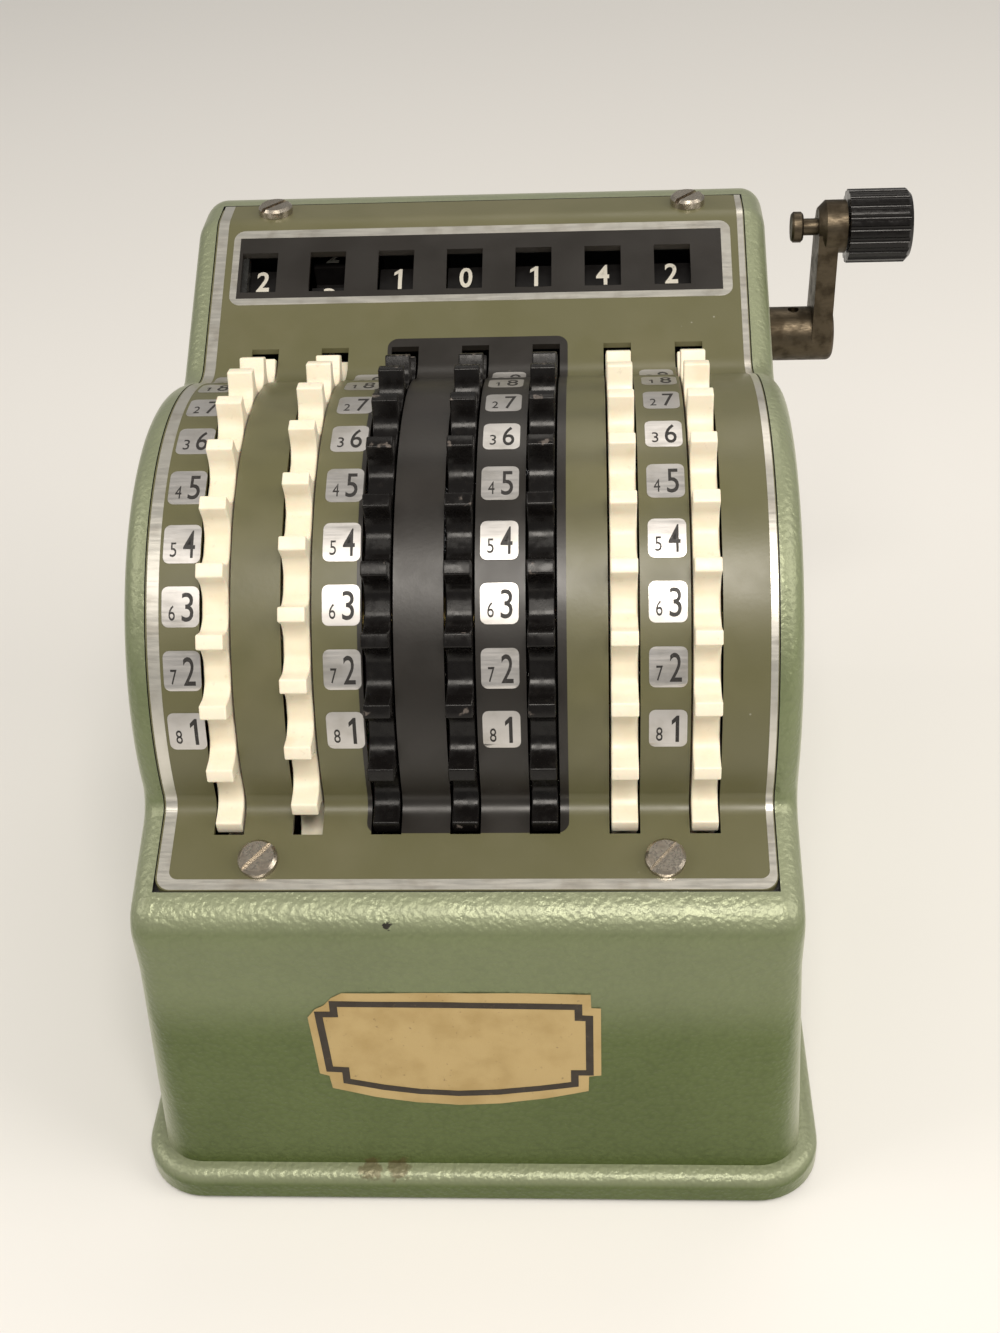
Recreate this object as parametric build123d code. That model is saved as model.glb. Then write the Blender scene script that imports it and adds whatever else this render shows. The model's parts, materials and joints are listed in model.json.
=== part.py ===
from build123d import *
import os
from math import cos, hypot, radians, sin, sqrt

# Seven-column calculator with toothed finger wheels.  All sizes are in millimetres.
# The shapes are drawn about the finger wheels' axle (x to the right, y to the back, z up)
# and are moved to the resting frame by place() when they are written.

# ---------------------------------------------------------------- columns
COLUMNS = 7
PITCH = 13.2
RUN = 0.05                 # radial clearance of a running fit
AIR = 0.3                  # clearance between pieces that move past each other
REACH = 10.0               # cutting shapes run this far past what they cut

# ---------------------------------------------------------------- finger wheels
WHEEL_TEETH = 27
WHEEL_TIP_R = 49.7
SCOOP_DEPTH = 5.1
TOOTH_LAND = 2.4
TOOTH_ROOT = 3.4
SCOOP_FILLET = 1.3
WHEEL_W = 4.4
RIM_T = 6.0
WEB_T = 1.6
HUB_R = 7.5
HUB_LEN = 9.0
AXLE_R = 4.0
HALF_STEP_COLUMN = 2       # this wheel stands between two digits
HALF_STEP = -4.98          # degrees that it is turned back
SPACER_T = 1.8

# ---------------------------------------------------------------- number drums
DRUM_DIGITS = 10
DRUM_R = 18.9
DRUM_RISE = 26.17          # degrees that the drums' shaft stands above the wheels' axle
MESH_DEPTH = 3.98          # how far the drums' lobes reach into the wheels' scoops
NOTCH_DEPTH = 4.4
NOTCH_ROOT_W = 4.2
NOTCH_MOUTH_W = 5.2
DRUM_LEFT = -6.0           # the drum's faces, measured from the wheel's middle plane
DRUM_RIGHT = 2.0
CAM_NECK_R = 8.0
CAM_R = 11.0
CAM_NOSE_R = 15.4
CAM_NOSE_W = 4.0
CAM_T = 1.8
CAM_GAP = 0.5
SHAFT_R = 4.0
COLLAR_T = 2.0

# ---------------------------------------------------------------- face plate, seen from the side
PLATE_T = 1.0
PLATE_SIDE = 2.6           # how far the plate reaches out past the frame
WHEEL_PROUD = 4.65         # how far the wheels stand out of the plate's arc
FOLD_ANGLE = -4.98         # where the shelf meets the arc, degrees above the forward horizontal
SHELF_SLOPE = 18.85
SHELF_LEN = 16.1
FLAT_SLOPE = 28.03
WINDOW_GAP = 2.93          # between the drums and the plate's inner face
WINDOW_BACK = 0.95         # the windows' middle, up the flat from its point nearest the drums
BEND_UP = 11.7             # from the windows' middle up to the top bend
STRIP_LEN = 7.6
FOLD_FILLET = 3.0
SADDLE_FILLET = 7.0
BEND_FILLET = 6.0
SLOT_W = 5.1
SLOT_DOWN = 5.9            # the slots' lower end, measured down the shelf from the fold
SLOT_TOP = 18.0            # the slots' upper end, measured down the flat from the windows' middle
WINDOW_W = 6.9
WINDOW_H = 8.3
WINDOW_SHIFT = -2.5        # the windows sit over the left part of the drums
PLATE_CORNER = 2.5

# ---------------------------------------------------------------- housing
WALL = 2.2
SIDE_RIM = 4.4             # how far the housing reaches out past the plate at each side
SHOULDER_R = 4.2
FRONT_RIM = 6.18
FRONT_FILLET = 7.5
REAR_RIM = 14.37
REAR_FILLET = 14.0
SPLIT_Z = -24.0            # below this level the walls flare
UNDER_WHEELS = 19.3        # from the wheels' lowest point down to the flange
FLARE_SIDE = 2.6
FLARE_FRONT = 3.7
FLARE_REAR = 1.5
SKIRT_CORNER = 8.0
FLANGE_OUT = 3.4
FLANGE_H = 5.6
FLANGE_TOP_FILLET = 2.6
SEAT_CLEAR = 0.15
LEDGE = 6.5                # width of the rim that carries the face plate
OPEN_CLEAR = 2.5           # the housing's opening, past the ends of the slots and windows

# ---------------------------------------------------------------- screws
SCREW_HEAD_R = 3.3
SCREW_HEAD_H = 1.7
SCREW_HEAD_EDGE = 0.5
SCREW_R = 1.5
SCREW_LEN = 5.0
SCREW_CLEAR = 0.2
SCREW_SLOT_W = 0.9
SCREW_SLOT_D = 0.8
SCREW_TURN = 48.0
SCREW_BOSS_R = 3.4
SHELF_SCREW_DOWN = 10.7
SHELF_SCREW_X = (-34.1, 32.9)
STRIP_SCREW_X = (-40.2, 40.5)
STRIP_SCREW_BACK = 4.1

# ---------------------------------------------------------------- base
BASE_T = 1.5
BASE_RECESS = 1.0          # the base plate lies this far above the flange's underside
BASE_CLEAR = 0.4
FOOT_R = 6.5
FOOT_PROUD = 1.0
FOOT_EDGE = 0.4
FOOT_INSET = 16.0
FOOT_STEM_R = 2.0
FOOT_BARB_R = 2.8
FOOT_BARB_H = 1.2
POST_R = 5.0
POST_H = 14.0
POST_INSET = 6.5
BASE_SCREW_R = 1.6
BASE_SCREW_LEN = 9.0
BASE_SCREW_HEAD_R = 3.0
BASE_SCREW_HEAD_H = 1.0

# ---------------------------------------------------------------- frame
FRAME_T = 1.6
FRAME_GAP = 1.2            # between the outermost pieces on the shafts and the frame plates
FRAME_FOOT_W = 5.0
FRAME_IN = 4.0             # between the frame plates' upper edge and the shell's inner side
FRAME_EDGE = 8.0           # from a tie rod to the frame plate's nearest end
FRAME_HOLE_R = 9.0
FRAME_HOLE_YS = (-16.0, 18.0, 46.0)
FRAME_HOLE_Z = -34.0
ROD_R = 2.5
ROD_NUT_R = 4.2
ROD_NUT_T = 2.0
ROD_YS = (-26.0, 59.0)
ROD_UP = 12.1              # above the base plate
AXLE_HEAD_R = 6.0
AXLE_HEAD_T = 1.2
RIVET_R = 1.6
RIVET_HEAD_R = 2.2
RIVET_HEAD_T = 0.8
RIVET_YS = (-18.0, 50.0)

# ---------------------------------------------------------------- detents and tens carry
DETENT_T = 0.8
DETENT_W = 3.0
DETENT_BAR_W = 8.0
DETENT_BAR_T = 2.5
DETENT_BAR_Y = 26.0
DETENT_DROP = 9.3          # the bar's upper face, below the wheels' lowest point
DETENT_NOSE = 2.0
CARRY_BACK = 3.0           # the carry shaft, behind the drums' shaft
CARRY_DOWN = 34.5          # and below it
CARRY_SHAFT_R = 2.2
LEVER_HUB_R = 4.6
LEVER_W = 4.0
LEVER_T = 1.3
LEVER_TIP_GAP = 0.7
LEVER_NOSE = 1.5
LEVER_TAIL = 16.0
LEVER_TAIL_DROP = 9.0
LEVER_COLLAR_T = 1.4

# ---------------------------------------------------------------- crank
WALL_GAP = 1.0
SHAFT_PROUD = 1.5          # the shaft's left end, past the frame
BOSS_R = 5.3
BOSS_LEN = 13.4
BOSS_EDGE = 1.2
STUB_R = 3.0
STUB_LEN = 10.0
ARM_THROW = 22.65
ARM_T = 3.8
ARM_W = 8.6
ARM_SET_IN = 0.7           # the arm's outer face, back from the boss's end
HUB_TOP_R = 5.0
HUB_OUT = 1.5
HUB_CHAMFER = 1.4
SET_PIN_R = 1.1
SET_PIN_X = 5.5            # from the boss's inner end
SET_PIN_DEEP = 0.7
KNOB_R = 6.9
KNOB_LEN = 11.8
KNOB_FLUTES = 20
FLUTE_R = 0.75
KNOB_CHAMFER = 0.9
PIN_R = 2.0
PIN_NECK_R = 1.6
PIN_NECK = 2.8
PIN_HEAD_R = 2.9
PIN_HEAD_T = 2.2
PIN_HEAD_EDGE = 0.4
PIN_IN_KNOB = 9.0
PIN_END_GAP = 0.2
BUSH_R = 6.2
BUSH_FLANGE_R = 8.4
BUSH_FLANGE_T = 1.0
BUSH_PROUD = 0.4

# ---------------------------------------------------------------- worked-out places
def slope_dir(slope):
    """The direction that climbs to the back at a slope in degrees."""
    return Vector(cos(radians(slope)), sin(radians(slope)))


def outward(direction):
    """The outer side of a sloping face."""
    return Vector(-direction.Y, direction.X)


COLUMN_X = [(i - (COLUMNS - 1) / 2) * PITCH for i in range(COLUMNS)]
WHEEL_FLOOR_R = WHEEL_TIP_R - SCOOP_DEPTH
GEAR_RATIO = WHEEL_TEETH / DRUM_DIGITS
DRUM = slope_dir(DRUM_RISE) * (WHEEL_TIP_R + DRUM_R - MESH_DEPTH)
DRUM_Y = DRUM.X
DRUM_Z = DRUM.Y
DRUM_STACK_RIGHT = DRUM_RIGHT + CAM_GAP + CAM_T

ARC_R = WHEEL_TIP_R - WHEEL_PROUD
FLAT_DIR = slope_dir(FLAT_SLOPE)
SHELF_DIR = slope_dir(SHELF_SLOPE)
FOLD = Vector(-ARC_R * cos(radians(FOLD_ANGLE)), ARC_R * sin(radians(FOLD_ANGLE)))
SHELF_END = FOLD - SHELF_DIR * SHELF_LEN
WINDOW = DRUM + outward(FLAT_DIR) * (DRUM_R + WINDOW_GAP + PLATE_T)
WINDOW += FLAT_DIR * WINDOW_BACK
BEND = WINDOW + FLAT_DIR * BEND_UP
STRIP_END = BEND + Vector(STRIP_LEN, 0)
SLOT_END = FOLD - SHELF_DIR * SLOT_DOWN
SLOT_START = WINDOW - FLAT_DIR * SLOT_TOP
WINDOW_END = WINDOW + FLAT_DIR * (WINDOW_H / 2)
SHELF_SCREW = FOLD - SHELF_DIR * SHELF_SCREW_DOWN
STRIP_SCREW = BEND + Vector(STRIP_SCREW_BACK, 0)

FRAME_LEFT_X = COLUMN_X[0] + DRUM_LEFT - FRAME_GAP - FRAME_T
FRAME_RIGHT_X = COLUMN_X[-1] + DRUM_STACK_RIGHT + FRAME_GAP
PLATE_HALF_W = PLATE_SIDE - FRAME_LEFT_X
HOUSING_HALF_W = PLATE_HALF_W + SIDE_RIM
FRONT_Y = SHELF_END.X - FRONT_RIM
REAR_Y = STRIP_END.X + REAR_RIM
FLARE_Z = -WHEEL_TIP_R - UNDER_WHEELS

UNDERSIDE_Z = FLARE_Z - FLANGE_H
BASE_BOTTOM_Z = UNDERSIDE_Z + BASE_RECESS
BASE_TOP_Z = BASE_BOTTOM_Z + BASE_T
FLOOR_Z = UNDERSIDE_Z - FOOT_PROUD

ROD_Z = BASE_TOP_Z + ROD_UP
DETENT_BAR_Z = -WHEEL_TIP_R - DETENT_DROP
CARRY_Y = DRUM_Y + CARRY_BACK
CARRY_Z = DRUM_Z - CARRY_DOWN

BOSS_X = HOUSING_HALF_W + WALL_GAP
BOSS_END_X = BOSS_X + BOSS_LEN
ARM_OUT_X = BOSS_END_X - ARM_SET_IN
ARM_IN_X = ARM_OUT_X - ARM_T
HUB_END_X = ARM_OUT_X + HUB_OUT
KNOB_X = HUB_END_X + AIR
KNOB_END_X = KNOB_X + KNOB_LEN
KNOB_Z = DRUM_Z + ARM_THROW

FLANGE_HALF_W = HOUSING_HALF_W + FLARE_SIDE + FLANGE_OUT
FLANGE_FRONT = FRONT_Y - FLARE_FRONT - FLANGE_OUT
FLANGE_REAR = REAR_Y + FLARE_REAR + FLANGE_OUT
SHIFT = Vector(-(KNOB_END_X - FLANGE_HALF_W) / 2, -(FLANGE_FRONT + FLANGE_REAR) / 2, -FLOOR_Z)


def side_plane(x):
    """A sketch plane across the machine: its x runs to the back and its y runs up."""
    return Plane(origin=(x, 0, 0), x_dir=(0, 1, 0), z_dir=(1, 0, 0))


def disc(x, length, radius, y=0.0, z=0.0):
    """A cylinder along the machine's width, from x to x + length."""
    return extrude(side_plane(x) * Pos(y, z) * Circle(radius), amount=length)


def slab(x, length, points):
    """A flat piece across the width, with its outline given as (y, z) points."""
    return extrude(side_plane(x) * make_face(Polyline(*points, close=True)), amount=length)


def block(low, high):
    """A box between two corners."""
    size = Vector(*high) - Vector(*low)
    middle = Vector(*low) + size * 0.5
    return Pos(middle) * Box(size.X, size.Y, size.Z)


# ---------------------------------------------------------------- housing and face plate
def arc_crossing(point, direction, inset, side):
    """Where a sloping face set in by inset crosses the arc, in front (-1) or behind (1)."""
    out = outward(direction)
    off = point.dot(out) - inset
    return out * off + direction * (side * sqrt((ARC_R - inset) ** 2 - off**2))


def body_profile(inset=0.0, bottom_z=SPLIT_Z):
    """The housing's side outline set in by inset, closed along a level bottom."""
    fold = arc_crossing(FOLD, SHELF_DIR, inset, -1)
    saddle = arc_crossing(WINDOW, FLAT_DIR, inset, 1)
    arc_mid = (fold + saddle).normalized() * (ARC_R - inset)
    front_y, rear_y, top_z = FRONT_Y + inset, REAR_Y - inset, BEND.Y - inset
    front_top = fold - SHELF_DIR * ((fold.X - front_y) / SHELF_DIR.X)
    bend = saddle + FLAT_DIR * ((top_z - saddle.Y) / FLAT_DIR.Y)
    rear_top = Vector(rear_y, top_z)
    edges = [
        Line((front_y, bottom_z), front_top),
        Line(front_top, fold),
        ThreePointArc(fold, arc_mid, saddle),
        Line(saddle, bend),
        Line(bend, rear_top),
        Line(rear_top, (rear_y, bottom_z)),
        Line((rear_y, bottom_z), (front_y, bottom_z)),
    ]
    face = make_face(edges)
    for corner, radius in (
        (front_top, FRONT_FILLET - inset),
        (fold, FOLD_FILLET + inset),
        (saddle, SADDLE_FILLET + inset),
        (bend, BEND_FILLET - inset),
        (rear_top, REAR_FILLET - inset),
    ):
        if radius > 0:
            face = fillet(face.vertices().sort_by_distance((corner.X, corner.Y, 0))[0], radius)
    return face


def across(profile, half_w):
    """A side profile drawn across the machine's width."""
    return extrude(side_plane(-half_w) * profile, amount=2 * half_w)


def upper_body():
    """The housing's upper part with rounded shoulders."""
    body = across(body_profile(), HOUSING_HALF_W)
    rim = [
        e
        for face in (body.faces().sort_by(Axis.X)[0], body.faces().sort_by(Axis.X)[-1])
        for e in face.edges()
        if e.center().Z > SPLIT_Z + AIR
    ]
    return fillet(rim, SHOULDER_R)


def wall_section(z, inset):
    """The flared walls' outline at height z, set in by inset."""
    share = (SPLIT_Z - z) / (SPLIT_Z - FLARE_Z)
    half_w = HOUSING_HALF_W + FLARE_SIDE * share - inset
    front = FRONT_Y - FLARE_FRONT * share + inset
    rear = REAR_Y + FLARE_REAR * share - inset
    corner = SHOULDER_R + (SKIRT_CORNER - SHOULDER_R) * share - inset
    return rounded_section(z, half_w, front, rear, corner)


def rounded_section(z, half_w, front, rear, corner):
    """A rounded rectangle at height z, as a face."""
    return Pos(0, (front + rear) / 2, z) * RectangleRounded(2 * half_w, rear - front, corner)


def skirt(inset, bottom_z):
    """The room inside the flared lower walls, from the split level down to bottom_z."""
    return loft([wall_section(bottom_z, inset), wall_section(SPLIT_Z, inset)], ruled=True)


def plate_room(front_y, rear_y, half_w):
    """All the room above the face plate's inner face, from front_y to rear_y."""
    room = block((-half_w, front_y, SHELF_END.Y - REACH), (half_w, rear_y, BEND.Y + REACH))
    return room - across(body_profile(PLATE_T), half_w)


def shelf_normal_plane(x, point, slope):
    """A plane lying on a sloping face of the plate, with its normal outwards."""
    normal = (0, -sin(radians(slope)), cos(radians(slope)))
    return Plane(origin=(x, point.X, point.Y), x_dir=(1, 0, 0), z_dir=normal)


def screw_planes():
    """The four places of the face plate's screws, on the plate's outer face."""
    places = [shelf_normal_plane(x, SHELF_SCREW, SHELF_SLOPE) for x in SHELF_SCREW_X]
    places += [shelf_normal_plane(x, STRIP_SCREW, 0) for x in STRIP_SCREW_X]
    return places


def corner_places(inset):
    """Four places set in from the corners of the flared walls."""
    x = HOUSING_HALF_W + FLARE_SIDE - inset
    front = FRONT_Y - FLARE_FRONT + inset
    rear = REAR_Y + FLARE_REAR - inset
    return [(sx * x, y) for sx in (-1, 1) for y in (front, rear)]


def face_plate():
    """The curved steel plate with its finger slots and number windows."""
    plate = plate_room(SHELF_END.X, STRIP_END.X, PLATE_HALF_W) & across(body_profile(), PLATE_HALF_W)
    for x in COLUMN_X:
        low = (x - SLOT_W / 2, SLOT_END.X, SHELF_END.Y - REACH)
        high = (x + SLOT_W / 2, SLOT_START.X, BEND.Y + REACH)
        plate -= block(low, high)
        pane = shelf_normal_plane(x + WINDOW_SHIFT, WINDOW, FLAT_SLOPE)
        plate -= extrude(pane * Rectangle(WINDOW_W, WINDOW_H), amount=2 * PLATE_T, both=True)
    for place in screw_planes():
        plate -= extrude(place * Circle(SCREW_R + SCREW_CLEAR), amount=3 * PLATE_T, both=True)
    corners = [
        e
        for end_y in (SHELF_END.X, STRIP_END.X)
        for e in plate.edges().filter_by(lambda e: abs(abs(e.center().X) - PLATE_HALF_W) < RUN)
        if e.length < 1.5 * PLATE_T and abs(e.center().Y - end_y) < PLATE_T
    ]
    return fillet(corners, PLATE_CORNER)


def housing_shell():
    """The hammer-finished shell, with its plate seat, opening, flange and corner posts."""
    inner_half = HOUSING_HALF_W - WALL
    rim = rounded_section(
        UNDERSIDE_Z, FLANGE_HALF_W, FLANGE_FRONT, FLANGE_REAR, SKIRT_CORNER + FLANGE_OUT
    )
    flange = extrude(rim, amount=FLANGE_H)
    shell = upper_body() + skirt(0, FLARE_Z)
    shell += fillet(flange.edges().group_by(Axis.Z)[-1], FLANGE_TOP_FILLET)
    shell -= across(body_profile(WALL + PLATE_T, SPLIT_Z - WALL), inner_half)
    shell -= skirt(WALL, UNDERSIDE_Z - WALL)
    for x, y in corner_places(POST_INSET):
        post = Pos(x, y, BASE_TOP_Z) * extrude(Circle(POST_R), amount=POST_H)
        shell += post & skirt(0, BASE_TOP_Z)
        shell -= Pos(x, y, BASE_TOP_Z) * extrude(Circle(BASE_SCREW_R), amount=BASE_SCREW_LEN)
    shell -= plate_room(
        SHELF_END.X - SEAT_CLEAR, STRIP_END.X + SEAT_CLEAR, PLATE_HALF_W + SEAT_CLEAR
    )
    shell -= block(
        (LEDGE - PLATE_HALF_W, SLOT_END.X - OPEN_CLEAR, SHELF_END.Y - REACH),
        (PLATE_HALF_W - LEDGE, WINDOW_END.X + OPEN_CLEAR, BEND.Y + REACH),
    )
    under_plate = across(body_profile(PLATE_T), inner_half)
    for place in screw_planes():
        boss = extrude(place * Pos(0, 0, -PLATE_T) * Circle(SCREW_BOSS_R), amount=-SCREW_LEN)
        shell += boss & under_plate
        shell -= extrude(place * Circle(SCREW_R), amount=-SCREW_LEN - PLATE_T, both=True)
    return shell - disc(inner_half - REACH, 2 * REACH, BUSH_R, DRUM_Y, DRUM_Z)


def slotted_screw(head_r, head_h, shank_r, shank_len):
    """A cheese-head screw standing on its own plane, head up."""
    head = extrude(Circle(head_r), amount=head_h)
    head = chamfer(head.edges().group_by(Axis.Z)[-1], SCREW_HEAD_EDGE)
    head -= Rot(0, 0, SCREW_TURN) * Pos(0, 0, head_h) * Box(3 * head_r, SCREW_SLOT_W, 2 * SCREW_SLOT_D)
    return head + extrude(Circle(shank_r), amount=-shank_len)


def plate_screws():
    """The four slotted screws that hold the face plate."""
    screw = slotted_screw(SCREW_HEAD_R, SCREW_HEAD_H, SCREW_R, SCREW_LEN)
    return [place * screw for place in screw_planes()]


# ---------------------------------------------------------------- base
def base_plate():
    """The bottom sheet, set up inside the flange."""
    section = Pos(0, 0, BASE_BOTTOM_Z - BASE_TOP_Z) * wall_section(BASE_TOP_Z, WALL + BASE_CLEAR)
    plate = extrude(section, amount=BASE_T)
    for x, y in corner_places(POST_INSET):
        plate -= Pos(x, y, BASE_BOTTOM_Z) * extrude(Circle(BASE_SCREW_R), amount=BASE_T)
    for x, y in corner_places(FOOT_INSET):
        plate -= Pos(x, y, BASE_BOTTOM_Z) * extrude(Circle(FOOT_STEM_R), amount=BASE_T)
    return plate


def rubber_feet():
    """Four push-in feet; each stem goes through the base plate and ends in a barb."""
    height = BASE_BOTTOM_Z - FLOOR_Z
    foot = extrude(Circle(FOOT_R), amount=height)
    foot = chamfer(foot.edges().group_by(Axis.Z)[0], FOOT_EDGE)
    foot += Pos(0, 0, height) * extrude(Circle(FOOT_STEM_R), amount=BASE_T)
    foot += Pos(0, 0, height + BASE_T) * extrude(Circle(FOOT_BARB_R), amount=FOOT_BARB_H)
    return [Pos(x, y, FLOOR_Z) * foot for x, y in corner_places(FOOT_INSET)]


def base_screws():
    """Screws through the base plate into the housing's corner posts."""
    head = extrude(Circle(BASE_SCREW_HEAD_R), amount=-BASE_SCREW_HEAD_H)
    head -= Pos(0, 0, -BASE_SCREW_HEAD_H) * Box(3 * BASE_SCREW_HEAD_R, SCREW_SLOT_W, SCREW_SLOT_D)
    screw = head + extrude(Circle(BASE_SCREW_R), amount=BASE_T + BASE_SCREW_LEN)
    return [Pos(x, y, BASE_BOTTOM_Z) * screw for x, y in corner_places(POST_INSET)]


# ---------------------------------------------------------------- frame
def frame_plate(x, side):
    """One of the two side plates; its foot is bent outwards and stands on the base plate."""
    front_y, rear_y = ROD_YS[0] - FRAME_EDGE, ROD_YS[1] + FRAME_EDGE
    plate = extrude(
        side_plane(x) * body_profile(WALL + PLATE_T + FRAME_IN, BASE_TOP_Z), amount=FRAME_T
    )
    plate &= block((x, front_y, BASE_TOP_Z), (x + FRAME_T, rear_y, BEND.Y))
    for y in FRAME_HOLE_YS:
        plate -= disc(x, FRAME_T, FRAME_HOLE_R, y, FRAME_HOLE_Z)
    for y in ROD_YS:
        plate -= disc(x, FRAME_T, ROD_R, y, ROD_Z)
    plate -= disc(x, FRAME_T, AXLE_R, 0, 0)
    plate -= disc(x, FRAME_T, SHAFT_R + RUN, DRUM_Y, DRUM_Z)
    plate -= disc(x, FRAME_T, CARRY_SHAFT_R, CARRY_Y, CARRY_Z)
    edge = x if side < 0 else x + FRAME_T
    ends = sorted((edge, edge + side * FRAME_FOOT_W))
    foot = block(
        (ends[0], front_y + FRAME_EDGE / 2, BASE_TOP_Z),
        (ends[1], rear_y - FRAME_EDGE / 2, BASE_TOP_Z + FRAME_T),
    )
    for y in RIVET_YS:
        foot -= Pos((ends[0] + ends[1]) / 2, y, BASE_TOP_Z) * Cylinder(RIVET_R, REACH)
    return plate + foot


def frame_rivets():
    """Rivets that hold the frame's feet to the base plate."""
    rivet = extrude(Circle(RIVET_R), amount=FRAME_T)
    rivet += Pos(0, 0, FRAME_T) * extrude(Circle(RIVET_HEAD_R), amount=RIVET_HEAD_T)
    half = FRAME_FOOT_W / 2
    spots = (FRAME_LEFT_X - half, FRAME_RIGHT_X + FRAME_T + half)
    return [Pos(x, y, BASE_TOP_Z) * rivet for x in spots for y in RIVET_YS]


def headed_rod(radius, head_r, head_t, y, z):
    """A rod through both frame plates with a round head or nut outside each of them."""
    span = FRAME_RIGHT_X + FRAME_T - FRAME_LEFT_X
    rod = disc(FRAME_LEFT_X, span, radius, y, z)
    rod += disc(FRAME_LEFT_X - head_t, head_t, head_r, y, z)
    return rod + disc(FRAME_LEFT_X + span, head_t, head_r, y, z)


def wheel_spacers():
    """Tubes on the wheel axle that keep the wheels on their columns."""
    gap = PITCH - HUB_LEN - 2 * RUN
    tube_r = AXLE_R + SPACER_T
    inner = [COLUMN_X[i] + HUB_LEN / 2 + RUN for i in range(COLUMNS - 1)]
    spans = [(x, gap) for x in inner]
    first = FRAME_LEFT_X + FRAME_T
    spans.append((first, COLUMN_X[0] - HUB_LEN / 2 - RUN - first))
    last = COLUMN_X[-1] + HUB_LEN / 2 + RUN
    spans.append((last, FRAME_RIGHT_X - last))
    return [disc(x, length, tube_r) - disc(x, length, AXLE_R) for x, length in spans]


# ---------------------------------------------------------------- finger wheels and drums
def wheel_profile():
    """The finger wheel's edge: narrow lands with a finger scoop between each pair."""
    tip_x = sqrt(WHEEL_TIP_R**2 - (TOOTH_LAND / 2) ** 2)
    low_x = WHEEL_FLOOR_R - AIR
    tooth = make_face(
        Polyline(
            (low_x, -TOOTH_ROOT / 2),
            (tip_x, -TOOTH_LAND / 2),
            (tip_x, TOOTH_LAND / 2),
            (low_x, TOOTH_ROOT / 2),
            close=True,
        )
    )
    outline = Circle(WHEEL_FLOOR_R) + PolarLocations(0, WHEEL_TEETH) * tooth
    roots = outline.vertices().filter_by(lambda v: hypot(v.X, v.Y) < WHEEL_FLOOR_R + RUN)
    return fillet(roots, SCOOP_FILLET)


def finger_wheel(x, turn, profile):
    """A finger wheel with a rim, a thin web and a hub, turned by its rest angle."""
    edge = Rot(0, 0, DRUM_RISE + turn) * profile
    rim_r = WHEEL_FLOOR_R - RIM_T
    wheel = extrude(side_plane(x - WHEEL_W / 2) * (edge - Circle(rim_r)), amount=WHEEL_W)
    wheel += disc(x - WEB_T / 2, WEB_T, rim_r + WEB_T / 2)
    wheel += disc(x - HUB_LEN / 2, HUB_LEN, HUB_R)
    return wheel - disc(x - HUB_LEN / 2, HUB_LEN, AXLE_R + RUN)


def drum_profile():
    """The number drum's edge: ten lobes for the digits, with a notch between each pair."""
    floor = DRUM_R - NOTCH_DEPTH
    notch = make_face(
        Polyline(
            (floor, -NOTCH_ROOT_W / 2),
            (DRUM_R, -NOTCH_MOUTH_W / 2),
            (DRUM_R + AIR, -NOTCH_MOUTH_W / 2),
            (DRUM_R + AIR, NOTCH_MOUTH_W / 2),
            (DRUM_R, NOTCH_MOUTH_W / 2),
            (floor, NOTCH_ROOT_W / 2),
            close=True,
        )
    )
    return Circle(DRUM_R) - PolarLocations(0, DRUM_DIGITS) * notch


def number_drum(x, turn, profile):
    """A number drum with its carry cam, turned by its rest angle."""
    edge = Rot(0, 0, 180 + DRUM_RISE + turn) * profile
    left = x + DRUM_LEFT
    width = DRUM_RIGHT - DRUM_LEFT
    drum = extrude(side_plane(left) * Pos(DRUM_Y, DRUM_Z) * edge, amount=width)
    drum += disc(left + width, CAM_GAP, CAM_NECK_R, DRUM_Y, DRUM_Z)
    nose = Pos(CAM_NOSE_R / 2, 0) * Rectangle(CAM_NOSE_R, CAM_NOSE_W)
    cam = Circle(CAM_R) + (nose & Circle(CAM_NOSE_R))
    cam_place = side_plane(left + width + CAM_GAP) * Pos(DRUM_Y, DRUM_Z)
    drum += extrude(cam_place * (Rot(0, 0, 90 + turn) * cam), amount=CAM_T)
    return drum - disc(left, width + CAM_GAP + CAM_T, SHAFT_R + RUN, DRUM_Y, DRUM_Z)


def drum_collars():
    """Collars pinned to the crank shaft that keep the drums on their columns."""
    gap = PITCH - (DRUM_STACK_RIGHT - DRUM_LEFT) - 2 * RUN
    xs = [COLUMN_X[i] + DRUM_STACK_RIGHT + RUN for i in range(COLUMNS - 1)]
    collar_r = SHAFT_R + COLLAR_T
    return [
        disc(x, gap, collar_r, DRUM_Y, DRUM_Z) - disc(x, gap, SHAFT_R, DRUM_Y, DRUM_Z) for x in xs
    ]


# ---------------------------------------------------------------- detents and carry levers
def detent_bar():
    """The bar under the wheels that carries the detent springs."""
    y, z = DETENT_BAR_Y, DETENT_BAR_Z
    low = (FRAME_LEFT_X + FRAME_T, y - DETENT_BAR_W / 2, z - DETENT_BAR_T)
    return block(low, (FRAME_RIGHT_X, y + DETENT_BAR_W / 2, z))


def detent_comb():
    """One spring strip with a finger for each wheel; the fingers end just clear of the teeth."""
    y, z = DETENT_BAR_Y, DETENT_BAR_Z
    left, right = FRAME_LEFT_X + FRAME_T + AIR, FRAME_RIGHT_X - AIR
    comb = block((left, y - DETENT_BAR_W / 2, z), (right, y + DETENT_BAR_W / 2, z + DETENT_T))
    start = y - DETENT_BAR_W / 2
    peak_z = -WHEEL_TIP_R - AIR
    shoulder_z = peak_z - DETENT_NOSE
    outline = [
        (start, z),
        (DETENT_NOSE, shoulder_z - DETENT_T),
        (-DETENT_NOSE, shoulder_z),
        (0, peak_z),
        (DETENT_NOSE, shoulder_z),
        (start, z + DETENT_T),
    ]
    for x in COLUMN_X:
        comb += slab(x - DETENT_W / 2, DETENT_W, outline)
    return comb


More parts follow.
